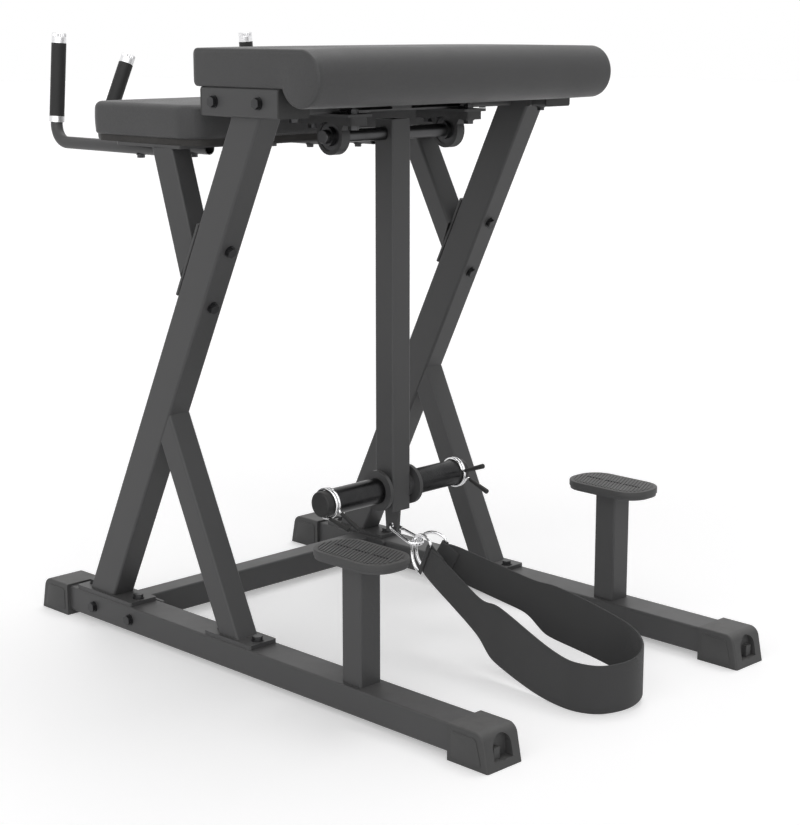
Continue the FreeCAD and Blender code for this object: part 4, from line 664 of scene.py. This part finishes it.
def chest_cushion():
    """A padded block: drawn in above its board, rounded and crowned on top, with large corners in front."""
    low, high = (Vector(corner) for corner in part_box("chest_cushion"))
    top = high.z - CHEST_CROWN
    shape = block(low, Vector((high.x, high.y, top)))
    middle = (low.x + high.x) / 2

    def corner_edges(in_front):
        edges = []
        for edge in shape.edges:
            a, b = (vertex.co for vertex in edge.verts)
            if abs(a.z - b.z) > 0.01 and (a.x > middle) == in_front:
                edges.append(edge)
        return edges

    round_edges(shape, corner_edges(False), CHEST_REAR_CORNER, 8)
    round_edges(shape, corner_edges(True), CHEST_FRONT_CORNER, 12)
    round_edges(shape, edges_at(shape, top), CHEST_TOP_ROUND, 5)
    round_edges(shape, edges_at(shape, low.z), CHEST_BOTTOM_ROUND, 3)
    slice_along(shape, (0, 1, 0), low.y, high.y, CHEST_STATIONS)
    slice_along(shape, (1, 0, 0), low.x, high.x, CHEST_SLICES)
    slice_along(shape, (0, 0, 1), low.z, top, CHEST_LEVELS)
    for vertex in shape.verts:
        along = 1 - abs((vertex.co.x - middle) / (middle - low.x)) ** 3
        across = 1 - abs(vertex.co.y / high.y) ** 6
        height = (vertex.co.z - low.z) / (top - low.z)
        vertex.co.z += CHEST_CROWN * along * across * height ** 4
        waist = CHEST_DRAW_IN * (1 - math.sin(math.pi * min(max(height, 0), 1)))
        vertex.co.x -= waist * (vertex.co.x - middle) / (middle - low.x)
        vertex.co.y -= waist * vertex.co.y / high.y
    mesh = to_mesh("chest_pad", shape)
    piece = finished("chest_pad", mesh, MATERIALS["pad_vinyl"], "frame", 40.0)
    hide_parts("chest_cushion")


# Strap

def edge_heights(rows, share):
    """Heights of the strap's lower and upper edge at a share of the way, read between two rows."""
    for before, after in zip(rows, rows[1:]):
        if share <= after[0]:
            part = (share - before[0]) / (after[0] - before[0])
            return tuple(before[k] + (after[k] - before[k]) * part for k in (1, 2))
    return rows[-1][1:]


def ring_bar(side):
    """The lower and upper end of a ring's straight bar, 1 for the left ring and -1 for the right one."""
    low = Vector((BAR_LOW[0], side * BAR_LOW[1], BAR_LOW[2]))
    high = Vector((BAR_HIGH[0], side * BAR_HIGH[1], BAR_HIGH[2]))
    return low, high


def strap_stations():
    """Lower and upper point of the band, from the right ring's bar round the cuff to the left ring's bar."""
    cuff = Vector(CUFF_CENTRE)
    legs = []
    for side, rows in ((-1, NEAR_LEG), (1, FAR_LEG)):
        low, high = ring_bar(side)
        start = (low + high) / 2
        start.z = 0
        reach = cuff - start
        angle = math.atan2(reach.y, reach.x) + side * math.asin(CUFF_RADIUS / reach.length)
        heading = Vector((math.cos(angle), math.sin(angle), 0))
        length = math.sqrt(reach.length ** 2 - CUFF_RADIUS ** 2)
        stations = [(low, high)]
        for share, lower, upper in rows:
            plan = start + heading * (length * share)
            stations.append((plan + Vector((0, 0, lower)), plan + Vector((0, 0, upper))))
        legs.append((stations, angle + side * math.pi / 2))
    stations = list(legs[0][0])
    for step in range(CUFF_STEPS + 1):
        share = step / CUFF_STEPS
        turn = legs[0][1] + (legs[1][1] - legs[0][1]) * share
        plan = cuff + Vector((math.cos(turn), math.sin(turn), 0)) * CUFF_RADIUS
        lower, upper = edge_heights(CUFF_ROWS, share)
        stations.append((plan + Vector((0, 0, lower)), plan + Vector((0, 0, upper))))
    return stations + legs[1][0][::-1]


def band_sheet(stations, rows):
    """A strip of quads along stations, extruded from one to the next, with a UV map in metres."""
    shape = bmesh.new()
    weft = shape.loops.layers.uv.new("weave")
    first_low, first_high = stations[0]
    column = [shape.verts.new(first_low.lerp(first_high, k / rows)) for k in range(rows + 1)]
    edges = [shape.edges.new(pair) for pair in zip(column, column[1:])]
    run = {vertex: 0.0 for vertex in column}
    lift = {vertex: (first_high - first_low).length * k / rows for k, vertex in enumerate(column)}
    travelled = 0.0
    for before, after in zip(stations, stations[1:]):
        grown = bmesh.ops.extrude_edge_only(shape, edges=edges)["geom"]
        fresh = [item for item in grown if isinstance(item, bmesh.types.BMVert)]
        edges = [item for item in grown if isinstance(item, bmesh.types.BMEdge)]
        fresh.sort(key=lambda vertex: (vertex.co - before[0]).length)
        travelled += (sum(after, Vector()) - sum(before, Vector())).length / 2
        for k, vertex in enumerate(fresh):
            vertex.co = after[0].lerp(after[1], k / rows)
            run[vertex] = travelled
            lift[vertex] = (after[1] - after[0]).length * k / rows
    for face in shape.faces:
        for corner in face.loops:
            corner[weft].uv = (run[corner.vert], lift[corner.vert])
    return shape


def thickened(shape, name, thickness, levels):
    """Rounds a sheet's course, gives it its thickness and eases its edges."""
    mesh = bpy.data.meshes.new(name)
    bmesh.ops.recalc_face_normals(shape, faces=shape.faces)
    shape.to_mesh(mesh)
    shape.free()
    draft = bpy.data.objects.new(name + "_draft", mesh)
    bpy.context.scene.collection.objects.link(draft)
    if levels:
        smooth = draft.modifiers.new("course", "SUBSURF")
        smooth.levels = smooth.render_levels = levels
    wall = draft.modifiers.new("wall", "SOLIDIFY")
    wall.thickness = thickness
    wall.offset = 0.0
    soften = draft.modifiers.new("soften", "BEVEL")
    soften.width = thickness * 0.3
    soften.segments = 2
    soften.limit_method = "ANGLE"
    soften.angle_limit = math.radians(50)
    graph = bpy.context.evaluated_depsgraph_get()
    solid = bpy.data.meshes.new_from_object(draft.evaluated_get(graph), depsgraph=graph)
    solid.name = name
    bpy.data.objects.remove(draft)
    return solid


def strap():
    """The ankle strap: one band of webbing from ring to ring, folded round each ring's bar and sewn."""
    stations = strap_stations()
    mesh = thickened(band_sheet(stations, 4), "ankle_strap", STRAP_THICKNESS, 2)
    piece = finished("ankle_strap", mesh, MATERIALS["strap_webbing"], "strap", 45.0)
    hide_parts("strap_loop")
    for label, sign in SIDES.items():
        low, high = ring_bar(sign)
        ends = stations[1] if sign < 0 else stations[-2]
        heading = (sum(ends, Vector()) / 2 - (low + high) / 2)
        bar = (high - low).normalized()
        heading = (heading - bar * heading.dot(bar)).normalized()
        inward = bar.cross(heading)
        if inward.y * sign > 0:
            inward = -inward
        fold = FOLD_RADIUS
        path = [heading * FOLD_START - inward * fold]
        for step in range(FOLD_STEPS + 1):
            turn = math.pi * step / FOLD_STEPS
            path.append(inward * -math.cos(turn) * fold - heading * math.sin(turn) * fold)
        path += [inward * fold * FOLD_PINCH + heading * reach for reach in FOLD_TAIL]
        shape = band_sheet([(low + step, high + step) for step in path], 2)
        tab = thickened(shape, "strap_fold_" + label, STRAP_THICKNESS * 0.8, 0)
        finished("strap_fold_" + label, tab, MATERIALS["strap_webbing"], "strap", 50.0)


# Foot plates

def step_pad(label):
    """A rubber foot plate: a plain border round parallel ribs, with three slits along its middle."""
    node = "step_pad_" + label
    low, high = (Vector(corner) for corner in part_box(node))
    middle = (low + high) / 2
    face_level = high.z - RIB_HEIGHT
    shape = block(low, Vector((high.x, high.y, face_level)))
    corners = [edge for edge in shape.edges if abs(edge.verts[0].co.z - edge.verts[1].co.z) > 0.001]
    round_edges(shape, corners, STEP_CORNER, STEP_CORNER_SEGMENTS)
    round_edges(shape, edges_at(shape, face_level), STEP_RIM, 3)
    round_edges(shape, edges_at(shape, low.z), STEP_RIM / 2, 2)
    ribbed = shape.faces.layers.int.new("ribbed")
    top = [face for face in shape.faces if face.normal.z > 0.99 and face.calc_area() > 0.005]
    bmesh.ops.inset_region(shape, faces=top, thickness=RIB_BORDER, depth=0)
    for face in top:
        face[ribbed] = 1

    def cut(point, normal):
        faces = [face for face in shape.faces if face[ribbed]]
        edges = {edge for face in faces for edge in face.edges}
        verts = {vertex for face in faces for vertex in face.verts}
        geometry = list(verts) + list(edges) + faces
        bmesh.ops.bisect_plane(shape, geom=geometry, plane_co=point, plane_no=normal, dist=SAME_POINT)

    across = Vector((math.cos(math.radians(RIB_TURN)), math.sin(math.radians(RIB_TURN)), 0))
    count = int((high.x - low.x) / RIB_PITCH)
    for step in range(-count, count + 1):
        cut(middle + across * (step * RIB_PITCH / 2), across)
    for side in (-1, 1):
        cut(middle + Vector((0, side * SLIT_WIDTH / 2, 0)), Vector((0, 1, 0)))
    slits = []
    for step in (-1, 0, 1):
        slit_middle = middle.x + step * SLIT_SPACING
        slits.append((slit_middle - SLIT_LENGTH / 2, slit_middle + SLIT_LENGTH / 2))
        for x in slits[-1]:
            cut(Vector((x, middle.y, 0)), Vector((1, 0, 0)))
    raised = []
    sunk = []
    for face in shape.faces:
        if not face[ribbed]:
            continue
        spot = face.calc_center_median()
        in_slit = abs(spot.y - middle.y) < SLIT_WIDTH / 2 and any(a < spot.x < b for a, b in slits)
        if in_slit:
            sunk.append(face)
        elif math.floor((spot - middle).dot(across) / (RIB_PITCH / 2)) % 2 == 0:
            raised.append(face)
    for faces, rise in ((raised, RIB_HEIGHT), (sunk, -SLIT_DEPTH)):
        grown = bmesh.ops.extrude_face_region(shape, geom=faces)
        bmesh.ops.translate(shape, verts=new_verts(grown), vec=(0, 0, rise))
        bmesh.ops.delete(shape, geom=faces, context="FACES_ONLY")
    mesh = to_mesh(node + "_ribbed", shape)
    piece = finished(node + "_ribbed", mesh, MATERIALS["foot_rubber"], "frame", 25.0)
    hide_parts(node)


# Handle ends

def fluted_caps():
    """The metal cap at the top of each handle, with flutes round its crown."""
    shape = bmesh.new()
    for spread, lean, corner_x, rise in HANDLES:
        for sign in SIDES.values():
            up = Vector((0, -sign * math.sin(math.radians(lean)), math.cos(math.radians(lean))))
            base = Vector((corner_x, sign * spread / 2, HANDLE_LEVEL)) + up * rise
            ring = bmesh.ops.create_circle(shape, cap_ends=True, radius=CAP_RADIUS, segments=4 * CAP_FLUTES)
            made = list(ring["verts"])
            bottom = made[0].link_faces[0]
            for reach, width in CAP_STEPS:
                grown = bmesh.ops.extrude_face_region(shape, geom=[bottom])["geom"]
                fresh = [item for item in grown if isinstance(item, bmesh.types.BMVert)]
                bottom = [item for item in grown if isinstance(item, bmesh.types.BMFace)][0]
                for vertex in fresh:
                    flat = Vector((vertex.co.x, vertex.co.y, 0)).normalized()
                    turn = math.atan2(flat.y, flat.x)
                    fluted = CAP_FLUTE_DEPTH * (0.5 + 0.5 * math.cos(CAP_FLUTES * turn))
                    depth = fluted if reach in CAP_FLUTED else 0.0
                    vertex.co = flat * (width - depth) + Vector((0, 0, reach))
                made += fresh
            tilt = Vector((0, 0, 1)).rotation_difference(up).to_matrix().to_4x4()
            bmesh.ops.transform(shape, matrix=Matrix.Translation(base) @ tilt, verts=made)
    mesh = to_mesh("fluted_caps", shape)
    piece = finished("fluted_caps", mesh, MATERIALS["grip_aluminium"], "frame", 30.0)
    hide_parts("grip_end_caps")


# Rubber shoes

def shoe_details(label, end):
    """The raised panels on both sides of one rubber shoe."""
    node = "foot_%s_%s" % (end, label)
    low, high = (Vector(corner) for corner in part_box(node))
    outward = 1 if end == "front" else -1
    tip = high.x if outward > 0 else low.x
    length = high.x - low.x
    height = high.z - low.z
    shape = bmesh.new()
    for y, out in ((low.y, -1), (high.y, 1)):
        corners = []
        for along, level in PANEL_OUTLINE:
            x = tip - outward * length * (1 - along)
            corners.append(shape.verts.new((x, y, low.z + height * level)))
        panel = shape.faces.new(corners)
        grown = bmesh.ops.extrude_face_region(shape, geom=[panel])
        bmesh.ops.translate(shape, verts=new_verts(grown), vec=(0, out * PANEL_RISE, 0))
    bmesh.ops.recalc_face_normals(shape, faces=shape.faces)
    uprights = [
        edge for edge in shape.edges
        if abs(edge.verts[0].co.y - edge.verts[1].co.y) > PANEL_RISE / 2
    ]
    round_edges(shape, uprights, PANEL_CORNER, 5)
    rims = [
        edge for edge in shape.edges
        if all(min(abs(vertex.co.y - low.y + PANEL_RISE), abs(vertex.co.y - high.y - PANEL_RISE)) < SAME_LEVEL
               for vertex in edge.verts)
    ]
    round_edges(shape, rims, PANEL_RISE * 0.6, 2)
    mesh = to_mesh(node + "_panels", shape)
    finished(node + "_panels", mesh, MATERIALS["foot_rubber"], "frame", 30.0)


dress_cad_nodes()
main_cushion()
pad_welts()
chest_cushion()
strap()
fluted_caps()
for side_name in SIDES:
    step_pad(side_name)
    for end_name in ("front", "rear"):
        shoe_details(side_name, end_name)


# Stage

def light_path_switch(tree):
    """1 where the camera, a mirror or glass looks, else 0."""
    path = tree.nodes.new("ShaderNodeLightPath")
    total = add_node(tree, "Math", "ADD")
    total.use_clamp = True
    tree.links.new(path.outputs["Is Camera Ray"], total.inputs[0])
    mirror = add_node(tree, "Math", "ADD")
    tree.links.new(path.outputs["Is Glossy Ray"], mirror.inputs[0])
    tree.links.new(path.outputs["Is Transmission Ray"], mirror.inputs[1])
    tree.links.new(mirror.outputs["Value"], total.inputs[1])
    return total.outputs["Value"]


def make_world():
    """An even sky, dimmer for the object than for the camera."""
    world = bpy.data.worlds.new("studio")
    world.use_nodes = True
    bpy.context.scene.world = world
    tree = world.node_tree
    level = add_node(tree, "MapRange")
    level.inputs["To Min"].default_value = SKY_LEVEL
    level.inputs["To Max"].default_value = 1.0
    tree.links.new(light_path_switch(tree), level.inputs["Value"])
    tree.links.new(level.outputs["Result"], tree.nodes["Background"].inputs["Strength"])
    tree.nodes["Background"].inputs["Color"].default_value = WHITE


def make_floor():
    """A pale floor that keeps the shadows and glows only for the camera."""
    shape = bmesh.new()
    bmesh.ops.create_grid(shape, x_segments=1, y_segments=1, size=FLOOR_SIZE / 2)
    bmesh.ops.translate(shape, verts=shape.verts, vec=(0, 0, -FLOOR_DROP))
    mesh = bpy.data.meshes.new("floor")
    shape.to_mesh(mesh)
    shape.free()
    floor = bpy.data.objects.new("floor", mesh)
    bpy.context.scene.collection.objects.link(floor)
    material = bpy.data.materials.new("pale_floor")
    material.use_nodes = True
    tree = material.node_tree
    shader = tree.nodes["Principled BSDF"]
    shader.inputs["Base Color"].default_value = FLOOR_COLOUR
    shader.inputs["Roughness"].default_value = 0.6
    shader.inputs["Specular IOR Level"].default_value = 0.2
    shader.inputs["Emission Color"].default_value = WHITE
    level = add_node(tree, "Math", "MULTIPLY")
    level.inputs[1].default_value = FLOOR_GLOW
    tree.links.new(light_path_switch(tree), level.inputs[0])
    tree.links.new(level.outputs["Value"], shader.inputs["Emission Strength"])
    mesh.materials.append(material)


def make_sun(name, level, direction, softness):
    """A sun lamp that shines from a direction, with its width in degrees."""
    lamp = bpy.data.lights.new(name, "SUN")
    lamp.energy = level
    lamp.angle = math.radians(softness)
    piece = bpy.data.objects.new(name, lamp)
    piece.rotation_euler = Vector(direction).to_track_quat("Z", "Y").to_euler()
    bpy.context.scene.collection.objects.link(piece)


def make_camera():
    """The camera of the photograph."""
    data = bpy.data.cameras.new("camera")
    data.lens = CAMERA_LENS
    data.sensor_width = CAMERA_SENSOR
    data.sensor_height = CAMERA_SENSOR
    data.clip_end = 100.0
    camera = bpy.data.objects.new("camera", data)
    camera.location = CAMERA_PLACE
    camera.rotation_euler = (math.radians(90 - CAMERA_DROP), 0, math.radians(CAMERA_AZIMUTH))
    bpy.context.scene.collection.objects.link(camera)
    bpy.context.scene.camera = camera


make_world()
make_floor()
make_sun("key_light", KEY_LEVEL, KEY_FROM, KEY_SOFTNESS)
make_sun("fill_light", FILL_LEVEL, FILL_FROM, FILL_SOFTNESS)
make_camera()
bpy.context.scene.view_settings.view_transform = "Standard"
